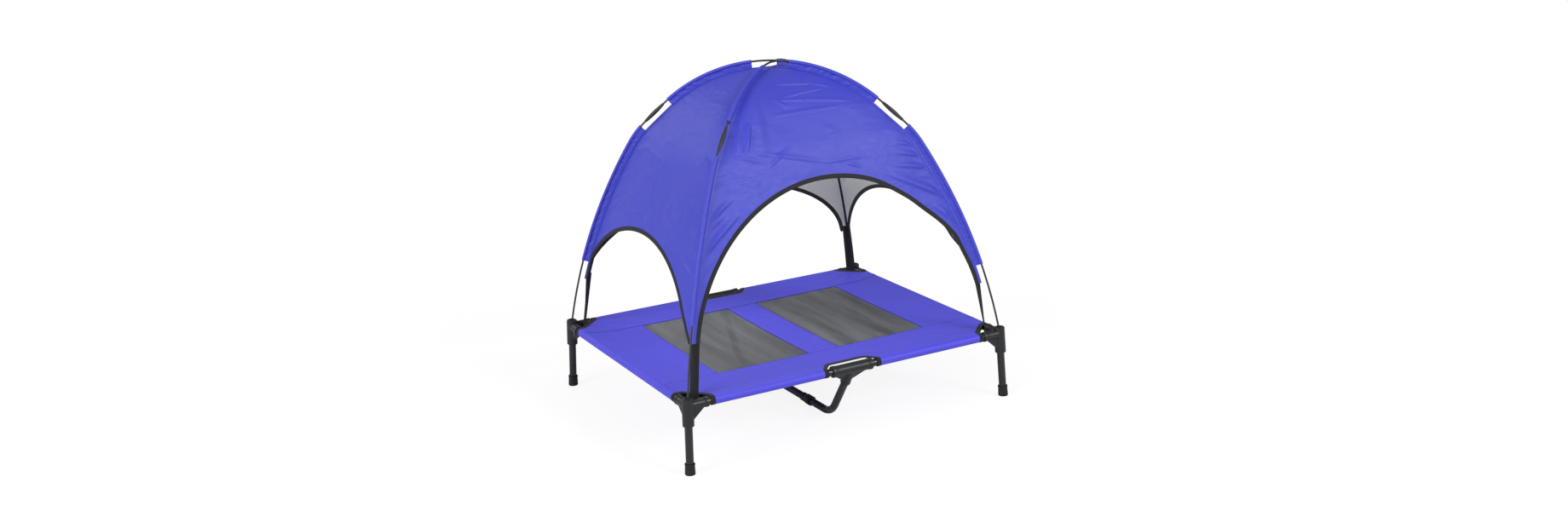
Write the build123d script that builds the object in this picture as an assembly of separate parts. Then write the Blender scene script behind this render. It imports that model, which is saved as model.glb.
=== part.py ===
from build123d import *
import math
import os

# A raised pet cot under a lift-off canopy. Millimetres: X runs along the long side, Y to the rear,
# Z up, with the origin on the floor under the middle of the cot.

# Frame
LENGTH = 890.0             # between the corner axes along X
WIDTH = 710.0              # between the corner axes along Y
ARM_Z = 168.0              # height of the rail axes
TUBE_D = 19.0              # rails, legs and brace are the same tube
TUBE_WALL = 1.2
PUSH_FIT = 0.05            # radial room of a tube in its socket
OVERCUT = 1.0              # how far a cutter runs past the face that it opens
OVERLAP = 1.0              # how far a web sinks into the round body that it braces
LEG_SPLAY = 2.3            # degrees outwards, along X and along Y

# Corner connector, sizes along the leg axis from the height of the rails
SOCKET_D = 28.0
SOCKET_TOP = 18.0
SOCKET_BOTTOM = -51.0
LEG_STOP = -13.0           # the leg's upper end bears here
ARM_D = 23.6
ARM_LENGTH = 52.0
ARM_BORE = 34.0
COLLAR_D = 25.8
COLLAR_LENGTH = 8.0
COLLAR_RISE = 4.0          # the taper from an arm to its collar
COLLAR_EDGE = 1.0
CUP_D = 12.0               # the cup that a canopy pole stands in
CUP_DEPTH = 27.0
GUSSET_REACH = 40.0
GUSSET_DROP = 35.0
GUSSET_THICK = 14.0
GUSSET_ROUND = 3.0
SOCKET_EDGE = 2.0

# Foot cap
FOOT_D = 25.4              # at the floor
FOOT_NECK_D = 23.8         # under the lip
FOOT_LIP_D = 25.4
FOOT_LIP = 4.0
FOOT_LIP_EDGE = 0.8
FOOT_HEIGHT = 27.0
FOOT_SOLE = 5.0
FOOT_EDGE = 1.5
FOOT_TRIM = 2.0            # left on below the floor, and cut off level

# Brace under the middle of the cot
TEE_D = 27.0
TEE_HALF = 56.5
TEE_BORE = 46.0
TEE_COLLAR_D = 29.0
TEE_SOCKET_D = 24.4
TEE_SOCKET = 57.0
TEE_SOCKET_BORE = 34.0
TEE_WEB_REACH = 50.0
TEE_WEB_DROP = 42.0
TEE_WEB_THICK = 10.0
TEE_WEB_TUCK = 2.0         # how far the web's ends sink into the sleeve
BRACE_Z = 15.5
BRACE_BEND_Y = 249.5       # where the sloping and the level run would meet
BRACE_BEND_R = 65.0
COUPLING_Y = 130.0         # the two tubes butt here, inside the coupling
COUPLING_HALF = 21.0
COUPLING_D = 22.4
COUPLING_MOUTH_D = 25.4
COUPLING_MOUTH = 16.0
TONGUE_WIDTH = 8.0
TONGUE_THICK = 2.6
TONGUE_LENGTH = 34.0
TONGUE_OVERHANG = 14.0
TONGUE_GAP = 1.4
TONGUE_ROUND = 1.0

# Cot sheet
FABRIC = 1.2
SLEEVE_ROOM = 0.4          # between a rail and its sleeve
SLEEVE_SEAM = 38.0         # from the rail axis to the sleeve's seam
SEAM_WIDTH = 6.0
CORNER_CUT = 57.0          # the cut-out about each corner, from the corner's axis along each rail
CORNER_ACROSS = 67.0       # it is cut across where the two distances add up to this
CORNER_CUT_R = 14.0
NOTCH_HALF = 69.0          # the cut-out about each tee
NOTCH_DEPTH = 24.0
NOTCH_R = 16.0
SHEET_BINDING = 11.0
BINDING_PROUD = 0.6
WINDOW_INNER = 44.0        # from the middle line to the mesh
WINDOW_LENGTH = 254.0
WINDOW_WIDTH = 444.0
MESH_THICK = 0.8

# Canopy poles: each half pole is an arc, a straight spindle joint, a shoulder arc and a long side arc
ROD_D = 5.0
POLE_TOP_Z = 877.5
APEX_R = 418.0
SPINDLE_ANGLE = 42.3       # slope of the spindle below the level
SPINDLE_LENGTH = 66.0
SPINDLE_D = 10.6
SPINDLE_END_D = 7.0
SPINDLE_WAIST = 18.0
SPINDLE_WEB = 6.0
SHOULDER_R = 266.0
SHOULDER_ANGLE = 58.2
CUP_CENTRE_Z = 172.0       # the pole passes the corner axis at this height
POLE_END_Z = 161.0
CROSSING = 2.6             # each pole passes this far above or below its middle height at the top
FERRULE_AT = 30.0          # from the crossing, along the pole
FERRULE_LENGTH = 28.0
FERRULE_D = 6.6

# Canopy cloth
CLOTH = 1.0
FIN = 15.0                 # from the pole to the ridge where two panels meet
FIN_THICK = 1.6
SLEEVE_BORE = 5.7
SLEEVE_D = 7.6
UPPER_SLEEVE_TOP = 48.0    # distances along the pole from the crossing
UPPER_SLEEVE_END = 292.0
LOWER_SLEEVE_TOP = 394.0
LOWER_SLEEVE_END_Z = 351.0
TIP_Z = 316.0              # the four tips of the cloth
RIDGE_START = 3.0
FRONT_ARCH = (410.0, 410.0, 627.0)     # half width, rise and top of each arch
REAR_ARCH = (405.0, 248.0, 501.0)
SIDE_ARCH = (382.0, 382.0, 490.0)
ARCH_BINDING = 10.0
BINDING_SIDE = 0.7         # the tape stands this far off the cloth on each face

# Corner straps
STRAP_WIDTH = 22.0
STRAP_THICK = 1.6
STRAP_FOOT_D = 531.0       # from the middle of the cot, along the diagonal
STRAP_BEND_Z = 186.0
STRAP_END_Z = 158.0
STRAP_LEG_LONG = 15.0      # the strap is folded into the tip: legs along X and Y
STRAP_LEG_SHORT = 11.0

HALF_L = LENGTH / 2
HALF_W = WIDTH / 2
DIAGONAL = math.hypot(HALF_L, HALF_W)
COS_D = HALF_L / DIAGONAL
SIN_D = HALF_W / DIAGONAL
TUBE_R = TUBE_D / 2
FAR = 2000.0               # larger than the cot, for cutting

CORNERS = {
    "front_left": (-1, -1),
    "front_right": (1, -1),
    "rear_left": (-1, 1),
    "rear_right": (1, 1),
}
NODES = {}


def add(name, part):
    """Keep one finished piece under its node name."""
    NODES[name] = part


def to_corner(part, corner):
    """Mirror a piece made at the front left corner to another corner."""
    side_x, side_y = CORNERS[corner]
    if side_x > 0:
        part = mirror(part, about=Plane.YZ)
    if side_y > 0:
        part = mirror(part, about=Plane.XZ)
    return part


def rod_between(start, end, diameter):
    """A round bar from one point to another."""
    axis = Vector(*end) - Vector(*start)
    plane = Plane(origin=start, z_dir=axis)
    return extrude(plane * Circle(diameter / 2), axis.length)


def turned(origin, direction, outline):
    """Turn an outline of distances and radii about an axis."""
    level = Vector(0, 1, 0) if abs(direction.Y) < 0.5 else Vector(1, 0, 0)
    plane = Plane(origin=origin, x_dir=direction, z_dir=direction.cross(level))
    face = make_face(Polyline(*outline, close=True))
    return revolve(plane * face, axis=Axis(origin, direction))


def spigot(origin, direction, length, diameter, collar_d):
    """A round arm that widens into a collar at its far end."""
    r = diameter / 2
    lip = collar_d / 2
    collar = length - COLLAR_LENGTH
    return turned(origin, direction, [
        (0, 0), (0, r), (collar - COLLAR_RISE, r), (collar, lip),
        (length - COLLAR_EDGE, lip), (length, lip - COLLAR_EDGE), (length, 0)])


def tube_between(start, end):
    """A length of the frame tube."""
    return rod_between(start, end, TUBE_D) - rod_between(start, end, TUBE_D - 2 * TUBE_WALL)


# Corner connector, leg and foot, made at the front left corner

CORNER = Vector(-HALF_L, -HALF_W, ARM_Z)
SPLAY = math.tan(math.radians(LEG_SPLAY))
LEG_AXIS = Vector(SPLAY, SPLAY, 1).normalized()


def on_leg(height):
    """Point of the leg axis at a distance from the rails' height."""
    return CORNER + LEG_AXIS * height


def connector_arm(direction):
    """One rail arm with its end collar and the gusset below it, rounded along its slope."""
    arm = spigot(CORNER, direction, ARM_LENGTH, ARM_D, COLLAR_D)
    side = Plane(origin=CORNER, x_dir=direction, z_dir=direction.cross(Vector(0, 0, 1)))
    gusset_face = make_face(Polyline(
        (0, 0), (GUSSET_REACH, 0), (GUSSET_REACH, OVERLAP - ARM_D / 2),
        (SOCKET_D / 2 - OVERLAP, -GUSSET_DROP), (0, -GUSSET_DROP), close=True))
    gusset = extrude(side * gusset_face, GUSSET_THICK / 2, both=True)
    edges = gusset.edges()
    sloping = edges - edges.filter_by(Axis.X) - edges.filter_by(Axis.Y) - edges.filter_by(Axis.Z)
    return arm + fillet(sloping, GUSSET_ROUND)


def make_connector():
    """Three-way moulding: two rail arms, a leg socket below and a pole cup on top."""
    r = SOCKET_D / 2
    body = turned(CORNER, LEG_AXIS, [
        (SOCKET_BOTTOM, 0), (SOCKET_BOTTOM, r - SOCKET_EDGE), (SOCKET_BOTTOM + SOCKET_EDGE, r),
        (SOCKET_TOP - SOCKET_EDGE, r), (SOCKET_TOP, r - SOCKET_EDGE), (SOCKET_TOP, 0)])
    bore_d = TUBE_D + 2 * PUSH_FIT
    holes = rod_between(on_leg(SOCKET_BOTTOM - OVERCUT), on_leg(LEG_STOP), bore_d)
    for direction in (Vector(1, 0, 0), Vector(0, 1, 0)):
        body += connector_arm(direction)
        stop = CORNER + direction * (ARM_LENGTH - ARM_BORE)
        holes += rod_between(stop, CORNER + direction * (ARM_LENGTH + OVERCUT), bore_d)
    holes += rod_between(on_leg(SOCKET_TOP - CUP_DEPTH), on_leg(SOCKET_TOP + OVERCUT), CUP_D)
    return body - holes


FLOOR_T = -ARM_Z / LEG_AXIS.Z
FOOT_BASE_T = FLOOR_T + FOOT_SOLE


def make_leg():
    """Leg tube from the connector's stop to the sole of the foot cap."""
    return tube_between(on_leg(FOOT_BASE_T), on_leg(LEG_STOP))


def make_foot():
    """Rubber cap that widens to the floor, with a lip, cut level where it stands."""
    top = FLOOR_T + FOOT_HEIGHT
    sole_r = FOOT_D / 2
    lip_r = FOOT_LIP_D / 2
    cap = turned(CORNER, LEG_AXIS, [
        (FLOOR_T - FOOT_TRIM, 0), (FLOOR_T - FOOT_TRIM, sole_r - FOOT_EDGE), (FLOOR_T + FOOT_EDGE, sole_r),
        (top - FOOT_LIP, FOOT_NECK_D / 2), (top - FOOT_LIP + FOOT_LIP_EDGE, lip_r),
        (top - FOOT_LIP_EDGE, lip_r), (top, lip_r - FOOT_LIP_EDGE), (top, 0)])
    cap -= rod_between(on_leg(FOOT_BASE_T), on_leg(top + OVERCUT), TUBE_D + 2 * PUSH_FIT)
    return cap - Pos(CORNER.X, CORNER.Y, -FAR / 2) * Box(FAR, FAR, FAR)


def make_frame_corners():
    """Four connectors, legs and feet."""
    pieces = {"corner_connector": make_connector(), "leg": make_leg(), "foot_cap": make_foot()}
    for name, part in pieces.items():
        for corner in CORNERS:
            add(f"{name}_{corner}", to_corner(part, corner))


def make_rails():
    """Two whole short rails and four half rails on the long sides."""
    stop = ARM_LENGTH - ARM_BORE
    tee_stop = TEE_HALF - TEE_BORE
    long_half = tube_between((-HALF_L + stop, -HALF_W, ARM_Z), (-tee_stop, -HALF_W, ARM_Z))
    for corner in CORNERS:
        add(f"long_rail_{corner}", to_corner(long_half, corner))
    short = tube_between((-HALF_L, -HALF_W + stop, ARM_Z), (-HALF_L, HALF_W - stop, ARM_Z))
    add("short_rail_left", short)
    add("short_rail_right", mirror(short, about=Plane.YZ))


# Brace: a tee on each long side, two bent tubes, a middle tube and two couplings

TEE = Vector(0, -HALF_W, ARM_Z)
BEND = Vector(0, -BRACE_BEND_Y, BRACE_Z)
SLOPE = (BEND - TEE).normalized()


def make_tee():
    """Sleeve over the rail ends with a socket that slopes down and inwards between two webs."""
    along = Vector(1, 0, 0)
    tee = spigot(TEE, SLOPE, TEE_SOCKET, TEE_SOCKET_D, COLLAR_D)
    for side in (-1, 1):
        tee += spigot(TEE, along * side, TEE_HALF, TEE_D, TEE_COLLAR_D)
    foot = TEE_SOCKET_D / 2 - OVERLAP
    shoulder = TEE_D / 2 - TEE_WEB_TUCK
    web_face = make_face(Polyline(
        (-TEE_WEB_REACH, 0), (TEE_WEB_REACH, 0), (TEE_WEB_REACH, shoulder),
        (foot, TEE_WEB_DROP), (-foot, TEE_WEB_DROP), (-TEE_WEB_REACH, shoulder), close=True))
    web_plane = Plane(origin=TEE, x_dir=along, z_dir=along.cross(SLOPE))
    tee += extrude(web_plane * web_face, TEE_WEB_THICK / 2, both=True)
    bore_d = TUBE_D + 2 * PUSH_FIT
    for side in (-1, 1):
        stop = TEE + along * side * (TEE_HALF - TEE_BORE)
        tee -= rod_between(stop, TEE + along * side * (TEE_HALF + OVERCUT), bore_d)
    socket_stop = TEE + SLOPE * (TEE_SOCKET - TEE_SOCKET_BORE)
    return tee - rod_between(socket_stop, TEE + SLOPE * (TEE_SOCKET + OVERCUT), bore_d)


def make_brace_tube():
    """Tube from the tee's socket, bent once to run level to the coupling."""
    start = TEE + SLOPE * (TEE_SOCKET - TEE_SOCKET_BORE)
    end = Vector(0, -COUPLING_Y, BRACE_Z)
    path = FilletPolyline(start, BEND, end, radius=BRACE_BEND_R)
    section = Plane(origin=path @ 0, z_dir=path % 0)
    ring = section * Circle(TUBE_R) - section * Circle(TUBE_R - TUBE_WALL)
    return sweep(ring, path=path)


def make_coupling():
    """Bell-mouthed sleeve over the tubes' joint, with a latch tongue along its top."""
    r = COUPLING_D / 2
    mouth_r = COUPLING_MOUTH_D / 2
    bore_r = TUBE_R + PUSH_FIT
    taper = COUPLING_HALF - COUPLING_MOUTH
    sleeve = turned(Vector(0, -COUPLING_Y, BRACE_Z), Vector(0, -1, 0), [
        (-COUPLING_HALF, bore_r), (-COUPLING_HALF, r), (-taper, r), (taper, mouth_r),
        (COUPLING_HALF, mouth_r), (COUPLING_HALF, bore_r)])
    tongue_z = BRACE_Z + TUBE_R + PUSH_FIT + TONGUE_GAP + TONGUE_THICK / 2
    tongue_y = -COUPLING_Y - COUPLING_HALF - TONGUE_OVERHANG + TONGUE_LENGTH / 2
    tongue = Pos(0, tongue_y, tongue_z) * Box(TONGUE_WIDTH, TONGUE_LENGTH, TONGUE_THICK)
    long_top = tongue.edges().filter_by(Axis.Y).group_by(Axis.Z)[-1]
    return sleeve + fillet(long_top, TONGUE_ROUND)


def make_brace():
    """Both ends of the brace and the tube between them."""
    front = {"brace_tee": make_tee(), "brace_tube": make_brace_tube(), "brace_coupling": make_coupling()}
    for name, part in front.items():
        add(f"{name}_front", part)
        add(f"{name}_rear", mirror(part, about=Plane.XZ))
    add("brace_tube_middle", tube_between((0, -COUPLING_Y, BRACE_Z), (0, COUPLING_Y, BRACE_Z)))


# Cot sheet with its rail sleeves, bindings and mesh windows

def teardrop(radius, seam_at):
    """Outline of a sleeve: round the rail, then straight up to the seam at the sheet."""
    seam = Vector(-seam_at, radius)
    turn = math.degrees(math.atan2(seam.Y, seam.X)) + math.degrees(math.acos(radius / seam.length))
    loop = CenterArc((0, 0), radius, 90, turn - 90 - 360)
    return make_face([loop, Line(loop @ 1, seam), Line(seam, loop @ 0)])


def sleeve_section(proud):
    """Section of the sleeve cloth, thickened outwards by proud."""
    inner = TUBE_R + SLEEVE_ROOM
    outer = teardrop(inner + FABRIC + proud, SLEEVE_SEAM)
    return outer - teardrop(inner, SLEEVE_SEAM - SEAM_WIDTH)


def whole_sheet(proud):
    """Sheet and sleeves before the cut-outs."""
    top = ARM_Z + TUBE_R + SLEEVE_ROOM + FABRIC + proud
    bottom = ARM_Z + TUBE_R + SLEEVE_ROOM
    sheet = Pos(0, 0, (top + bottom) / 2) * Box(LENGTH, WIDTH, top - bottom)
    section = sleeve_section(proud)
    for side in (-1, 1):
        long_plane = Plane(origin=(0, side * HALF_W, ARM_Z), x_dir=(0, side, 0), z_dir=(side, 0, 0))
        short_plane = Plane(origin=(side * HALF_L, 0, ARM_Z), x_dir=(side, 0, 0), z_dir=(0, -side, 0))
        sheet += extrude(long_plane * section, HALF_L - CORNER_CUT, both=True)
        sheet += extrude(short_plane * section, HALF_W - CORNER_CUT, both=True)
    return sheet


def corner_cutters(margin):
    """Blocks about the four corners, cut across and rounded, grown by a margin."""
    reach = CORNER_CUT + margin
    short = CORNER_ACROSS + margin * math.sqrt(2) - reach
    outline = make_face(Polyline((-reach, -reach), (reach, -reach), (reach, short), (short, reach),
                                 (-reach, reach), close=True))
    inner = [corner for corner in outline.vertices() if corner.X > 0 and corner.Y > 0]
    block = extrude(fillet(inner, CORNER_CUT_R + margin), 2 * ARM_Z)
    at_corner = Pos(-HALF_L, -HALF_W, 0) * block
    return [to_corner(at_corner, corner) for corner in CORNERS]


def notch_cutters(margin):
    """Rounded blocks about the two tees, grown by a margin."""
    depth = NOTCH_DEPTH + margin
    outline = RectangleRounded(2 * (NOTCH_HALF + margin), 2 * depth, NOTCH_R + margin)
    block = extrude(outline, 2 * ARM_Z)
    return [Pos(0, side * HALF_W, 0) * block for side in (-1, 1)]


def make_sheet():
    """Sheet, black edge bindings and mesh windows."""
    sheet = whole_sheet(0.0)
    taped = whole_sheet(BINDING_PROUD)
    sheet -= corner_cutters(SHEET_BINDING)
    sheet -= notch_cutters(SHEET_BINDING)
    top = ARM_Z + TUBE_R + SLEEVE_ROOM + FABRIC
    window_x = WINDOW_INNER + WINDOW_LENGTH / 2
    mesh = Pos(0, 0, top - MESH_THICK / 2) * Box(WINDOW_LENGTH, WINDOW_WIDTH, MESH_THICK)
    hole = Pos(0, 0, top) * Box(WINDOW_LENGTH, WINDOW_WIDTH, 2 * (FABRIC + OVERCUT))
    for name, side in (("left", -1), ("right", 1)):
        sheet -= Pos(side * window_x, 0, 0) * hole
        add(f"mesh_window_{name}", Pos(side * window_x, 0, 0) * mesh)
    add("cot_sheet", sheet)
    rings = [outer - inner for outer, inner in zip(corner_cutters(SHEET_BINDING), corner_cutters(0.0))]
    frames = [outer - inner for outer, inner in zip(notch_cutters(SHEET_BINDING), notch_cutters(0.0))]
    add("sheet_corner_bindings", Compound(children=[taped & ring for ring in rings]))
    add("sheet_notch_bindings", Compound(children=[taped & edge for edge in frames]))


# Canopy pole in the diagonal plane: local x is the distance from the middle, local y the height

POLE_PLANE = Plane(origin=(0, 0, 0), x_dir=(-COS_D, -SIN_D, 0), z_dir=(-SIN_D, COS_D, 0))


def outward(angle):
    """Unit vector from an arc's centre to the pole where it slopes by an angle."""
    return Vector(math.sin(math.radians(angle)), math.cos(math.radians(angle)))


def downhill(angle):
    """Unit vector along the pole, away from its top, where it slopes by an angle."""
    return Vector(math.cos(math.radians(angle)), -math.sin(math.radians(angle)))


def pole_stretches():
    """The half pole from the top down: arcs as (kind, centre, radius, first slope, last slope), and
    the spindle's line as (kind, start, length, slope, slope)."""
    apex_centre = Vector(0, POLE_TOP_Z - APEX_R)
    spindle_top = apex_centre + outward(SPINDLE_ANGLE) * APEX_R
    spindle_foot = spindle_top + downhill(SPINDLE_ANGLE) * SPINDLE_LENGTH
    shoulder_centre = spindle_foot - outward(SPINDLE_ANGLE) * SHOULDER_R
    shoulder_end = shoulder_centre + outward(SHOULDER_ANGLE) * SHOULDER_R
    to_cup = Vector(DIAGONAL, CUP_CENTRE_Z) - shoulder_end
    side_r = -to_cup.length ** 2 / (2 * to_cup.dot(outward(SHOULDER_ANGLE)))
    side_centre = shoulder_end - outward(SHOULDER_ANGLE) * side_r
    end_angle = math.degrees(math.acos((POLE_END_Z + CROSSING - side_centre.Y) / side_r))
    return [
        ("arc", apex_centre, APEX_R, 0.0, SPINDLE_ANGLE),
        ("line", spindle_top, SPINDLE_LENGTH, SPINDLE_ANGLE, SPINDLE_ANGLE),
        ("arc", shoulder_centre, SHOULDER_R, SPINDLE_ANGLE, SHOULDER_ANGLE),
        ("arc", side_centre, side_r, SHOULDER_ANGLE, end_angle),
    ]


STRETCHES = pole_stretches()


def stretch_length(stretch):
    """Length of one stretch of the pole."""
    kind, _, size, first, last = stretch
    if kind == "line":
        return size
    return size * math.radians(last - first)


POLE_HALF = sum(stretch_length(stretch) for stretch in STRETCHES)
SPINDLE_AT = stretch_length(STRETCHES[0])
SIDE_AT = POLE_HALF - stretch_length(STRETCHES[3])


def side_run_at(height, inset=0.0):
    """Distance along the pole at which its side arc, moved inwards, passes a height."""
    _, centre, radius, first, _ = STRETCHES[3]
    angle = math.degrees(math.acos((height - centre.Y) / (radius - inset)))
    return SIDE_AT + radius * math.radians(angle - first)


def run_edges(start, end, inset=0.0, narrow=1.0):
    """Edges of the pole curve between two distances from the top, moved inwards and narrowed in x."""
    edges = []
    at = 0.0
    for number, (kind, base, size, first, last) in enumerate(STRETCHES):
        length = stretch_length(STRETCHES[number])
        begin = max(start - at, 0.0) if number else start
        finish = min(end - at, length)
        at += length
        if finish <= begin:
            continue
        if kind == "line":
            foot = base - outward(first) * inset
            ends = [foot + downhill(first) * step for step in (begin, finish)]
            edges.append(Line(*[(point.X * narrow, point.Y) for point in ends]))
            continue
        centre = (base.X * narrow, base.Y)
        radius = size - inset
        top_angle, foot_angle = [first + math.degrees(step / size) for step in (begin, finish)]
        arc = {"start_angle": 90 - top_angle, "arc_size": top_angle - foot_angle}
        if narrow == 1.0:
            edges.append(CenterArc(centre, radius, **arc))
        else:
            edges.append(EllipticalCenterArc(centre, radius * narrow, radius, **arc))
    return edges


def band(start, end, outer_inset, inner_inset, narrow=1.0):
    """Face between two curves parallel to the pole."""
    outer = run_edges(start, end, outer_inset, narrow)
    inner = run_edges(start, end, inner_inset, narrow)
    caps = [Line(outer[0] @ 0, inner[0] @ 0), Line(outer[-1] @ 1, inner[-1] @ 1)]
    return make_face(outer + inner + caps)


def rod_along(start, end, diameter, bore=0.0):
    """Round rod or tube that follows the pole."""
    path = POLE_PLANE * Wire(run_edges(start, end))
    section = Plane(origin=path @ 0, z_dir=path % 0)
    face = section * Circle(diameter / 2)
    if bore:
        face -= section * Circle(bore / 2)
    return sweep(face, path=path)


def make_spindle():
    """Moulded joint, thick in the middle, with a socket for a rod at each end."""
    top = STRETCHES[1][1]
    along = downhill(SPINDLE_ANGLE)
    half = SPINDLE_LENGTH / 2
    bore_r = ROD_D / 2 + PUSH_FIT
    outline = make_face(Polyline(
        (0, -SPINDLE_WEB / 2), (bore_r, -SPINDLE_WEB / 2), (bore_r, -half), (SPINDLE_END_D / 2, -half),
        (SPINDLE_D / 2, -SPINDLE_WAIST / 2), (SPINDLE_D / 2, SPINDLE_WAIST / 2),
        (SPINDLE_END_D / 2, half), (bore_r, half), (bore_r, SPINDLE_WEB / 2), (0, SPINDLE_WEB / 2),
        close=True))
    centre = top + along * half
    slope = 90 - SPINDLE_ANGLE
    local = Plane.XY * Pos(centre.X, centre.Y) * Rot(0, 0, slope)
    spindle = revolve(local * outline, axis=Axis((centre.X, centre.Y, 0), (along.X, along.Y, 0)))
    return POLE_PLANE * spindle


def pole_lift(corner):
    """How far a corner's pole is raised: the rear left to front right one passes over the other."""
    side_x, side_y = CORNERS[corner]
    return -CROSSING * side_x * side_y


def make_poles():
    """Rods, spindle joints and ferrules of the two crossing poles."""
    web = SPINDLE_WEB / 2
    spindle_mid = SPINDLE_AT + SPINDLE_LENGTH / 2
    lower = rod_along(spindle_mid + web, POLE_HALF, ROD_D)
    upper = {
        -1: rod_along(-FERRULE_AT, spindle_mid - web, ROD_D),
        1: rod_along(FERRULE_AT, spindle_mid - web, ROD_D),
    }
    spindle = make_spindle()
    ferrule = rod_along(FERRULE_AT - FERRULE_LENGTH / 2, FERRULE_AT + FERRULE_LENGTH / 2,
                        FERRULE_D, ROD_D + 2 * PUSH_FIT)
    ferrules = []
    for corner, (side_x, _) in CORNERS.items():
        lift = Pos(0, 0, pole_lift(corner))
        add(f"lower_rod_{corner}", lift * to_corner(lower, corner))
        add(f"upper_rod_{corner}", lift * to_corner(upper[side_x], corner))
        add(f"pole_joint_{corner}", lift * to_corner(spindle, corner))
        if side_x > 0:
            ferrules.append(lift * to_corner(ferrule, corner))
    add("pole_ferrules", Compound(children=ferrules))


# Canopy cloth: four panels between the ridges, pole sleeves along them, tape round the arches

def make_pole_sleeve(lift):
    """Seam along the whole ridge with an upper and a lower sleeve standing out to the lifted pole."""
    tip = side_run_at(TIP_Z, FIN)
    sleeves = [(UPPER_SLEEVE_TOP, UPPER_SLEEVE_END),
               (LOWER_SLEEVE_TOP, side_run_at(LOWER_SLEEVE_END_Z))]
    seam_depth = FIN + CLOTH + max(lift, 0.0)
    half = FIN_THICK / 2
    fin = extrude(POLE_PLANE * band(RIDGE_START, tip + CLOTH, FIN, FIN + CLOTH), half, both=True)
    for start, end in sleeves:
        fin += Pos(0, 0, lift) * extrude(POLE_PLANE * band(start, end, 0.0, seam_depth), half, both=True)
        fin += Pos(0, 0, lift) * rod_along(start, end, SLEEVE_D)
    for start, end in sleeves:
        fin -= Pos(0, 0, lift) * rod_along(start - OVERCUT, end + OVERCUT, SLEEVE_BORE)
    return fin - below_tips()


def below_tips():
    """Everything under the tips of the cloth."""
    return Pos(0, 0, TIP_Z - FAR / 2) * Box(FAR, FAR, FAR)


def side_wedge(along_y):
    """Room of one panel between the two diagonals, seen from above."""
    gap = FIN_THICK / 2
    reach = FAR / 2
    if along_y:
        tip = Vector(0, -gap / COS_D)
        ends = [tip + Vector(side * COS_D, -SIN_D) * reach for side in (-1, 1)]
    else:
        tip = Vector(-gap / SIN_D, 0)
        ends = [tip + Vector(-COS_D, side * SIN_D) * reach for side in (-1, 1)]
    return extrude(make_face(Polyline(tip, *ends, close=True)), FAR / 2)


def arch_post(along_y, arch, inset):
    """Round or oval bar that cuts an arch out of a panel, made smaller by an inset."""
    half, rise, top = arch
    facing = (0, -1, 0) if along_y else (-1, 0, 0)
    plane = Plane(origin=(0, 0, top - rise), x_dir=(0, 0, 1), z_dir=facing)
    return extrude(plane * Ellipse(rise - inset, half - inset), FAR / 2)


def make_panel(along_y, arch):
    """One panel, and the tape round its arch."""
    if along_y:
        plane = Plane(origin=(0, 0, 0), x_dir=(0, -1, 0), z_dir=(-1, 0, 0))
        narrow = SIN_D
    else:
        plane = Plane(origin=(0, 0, 0), x_dir=(-1, 0, 0), z_dir=(0, 1, 0))
        narrow = COS_D
    tip = side_run_at(TIP_Z, FIN) + FIN
    room = side_wedge(along_y) - below_tips()
    opening = arch_post(along_y, arch, 0.0)
    cloth = extrude(plane * band(0, tip, FIN, FIN + CLOTH, narrow), HALF_L, both=True)
    taped = extrude(plane * band(0, tip, FIN - BINDING_SIDE, FIN + CLOTH + BINDING_SIDE, narrow),
                    HALF_L, both=True)
    panel = (cloth & room) - opening
    tape = (taped & room) & (opening - arch_post(along_y, arch, ARCH_BINDING))
    return panel, tape


def make_cloth():
    """Panels, arch tapes and pole sleeves on all sides."""
    fronts = make_panel(True, FRONT_ARCH)
    rears = make_panel(True, REAR_ARCH)
    sides = make_panel(False, SIDE_ARCH)
    for name, front, rear, side in zip(("canopy_panel", "arch_binding"), fronts, rears, sides):
        add(f"{name}_front", front)
        add(f"{name}_rear", mirror(rear, about=Plane.XZ))
        add(f"{name}_left", side)
        add(f"{name}_right", mirror(side, about=Plane.YZ))
    sleeves = {lift: make_pole_sleeve(lift) for lift in (-CROSSING, CROSSING)}
    for corner in CORNERS:
        add(f"pole_sleeve_{corner}", to_corner(sleeves[pole_lift(corner)], corner))


def make_strap():
    """Webbing folded into the canopy's tip, flat where it goes down beside the connector."""
    _, centre, radius, _, _ = STRETCHES[3]
    tip_d = centre.X + math.sqrt((radius - FIN) ** 2 - (TIP_Z - centre.Y) ** 2) - CLOTH
    x, y = -tip_d * COS_D, -tip_d * SIN_D
    t = STRAP_THICK
    folded = make_face(Polyline(
        (x, y), (x + STRAP_LEG_LONG, y), (x + STRAP_LEG_LONG, y + t), (x + t, y + t),
        (x + t, y + STRAP_LEG_SHORT), (x, y + STRAP_LEG_SHORT), close=True))
    across = Vector(SIN_D, -COS_D) * (STRAP_WIDTH / 2)
    outer = Vector(-COS_D, -SIN_D) * STRAP_FOOT_D
    inner = Vector(-COS_D, -SIN_D) * (STRAP_FOOT_D - t)
    flat = make_face(Polyline(outer, outer + across, inner + across, inner, inner - across,
                              outer - across, close=True))
    strap = loft([Pos(0, 0, TIP_Z) * folded, Pos(0, 0, STRAP_BEND_Z) * flat], ruled=True)
    return strap + extrude(Pos(0, 0, STRAP_END_Z) * flat, STRAP_BEND_Z - STRAP_END_Z)


def make_straps():
    """A strap at each corner."""
    strap = make_strap()
    for corner in CORNERS:
        add(f"corner_strap_{corner}", to_corner(strap, corner))


make_frame_corners()
make_rails()
make_brace()
make_sheet()
make_poles()
make_cloth()
make_straps()

os.makedirs("parts", exist_ok=True)
for node_name, node_part in NODES.items():
    export_step(node_part, f"parts/{node_name}.step")
print(len(NODES), "nodes; half pole", round(POLE_HALF, 1), "mm; side arc radius", round(STRETCHES[3][2], 1))
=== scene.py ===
"""Looks of a raised pet cot under a lift-off canopy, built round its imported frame. Metres throughout."""

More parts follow.
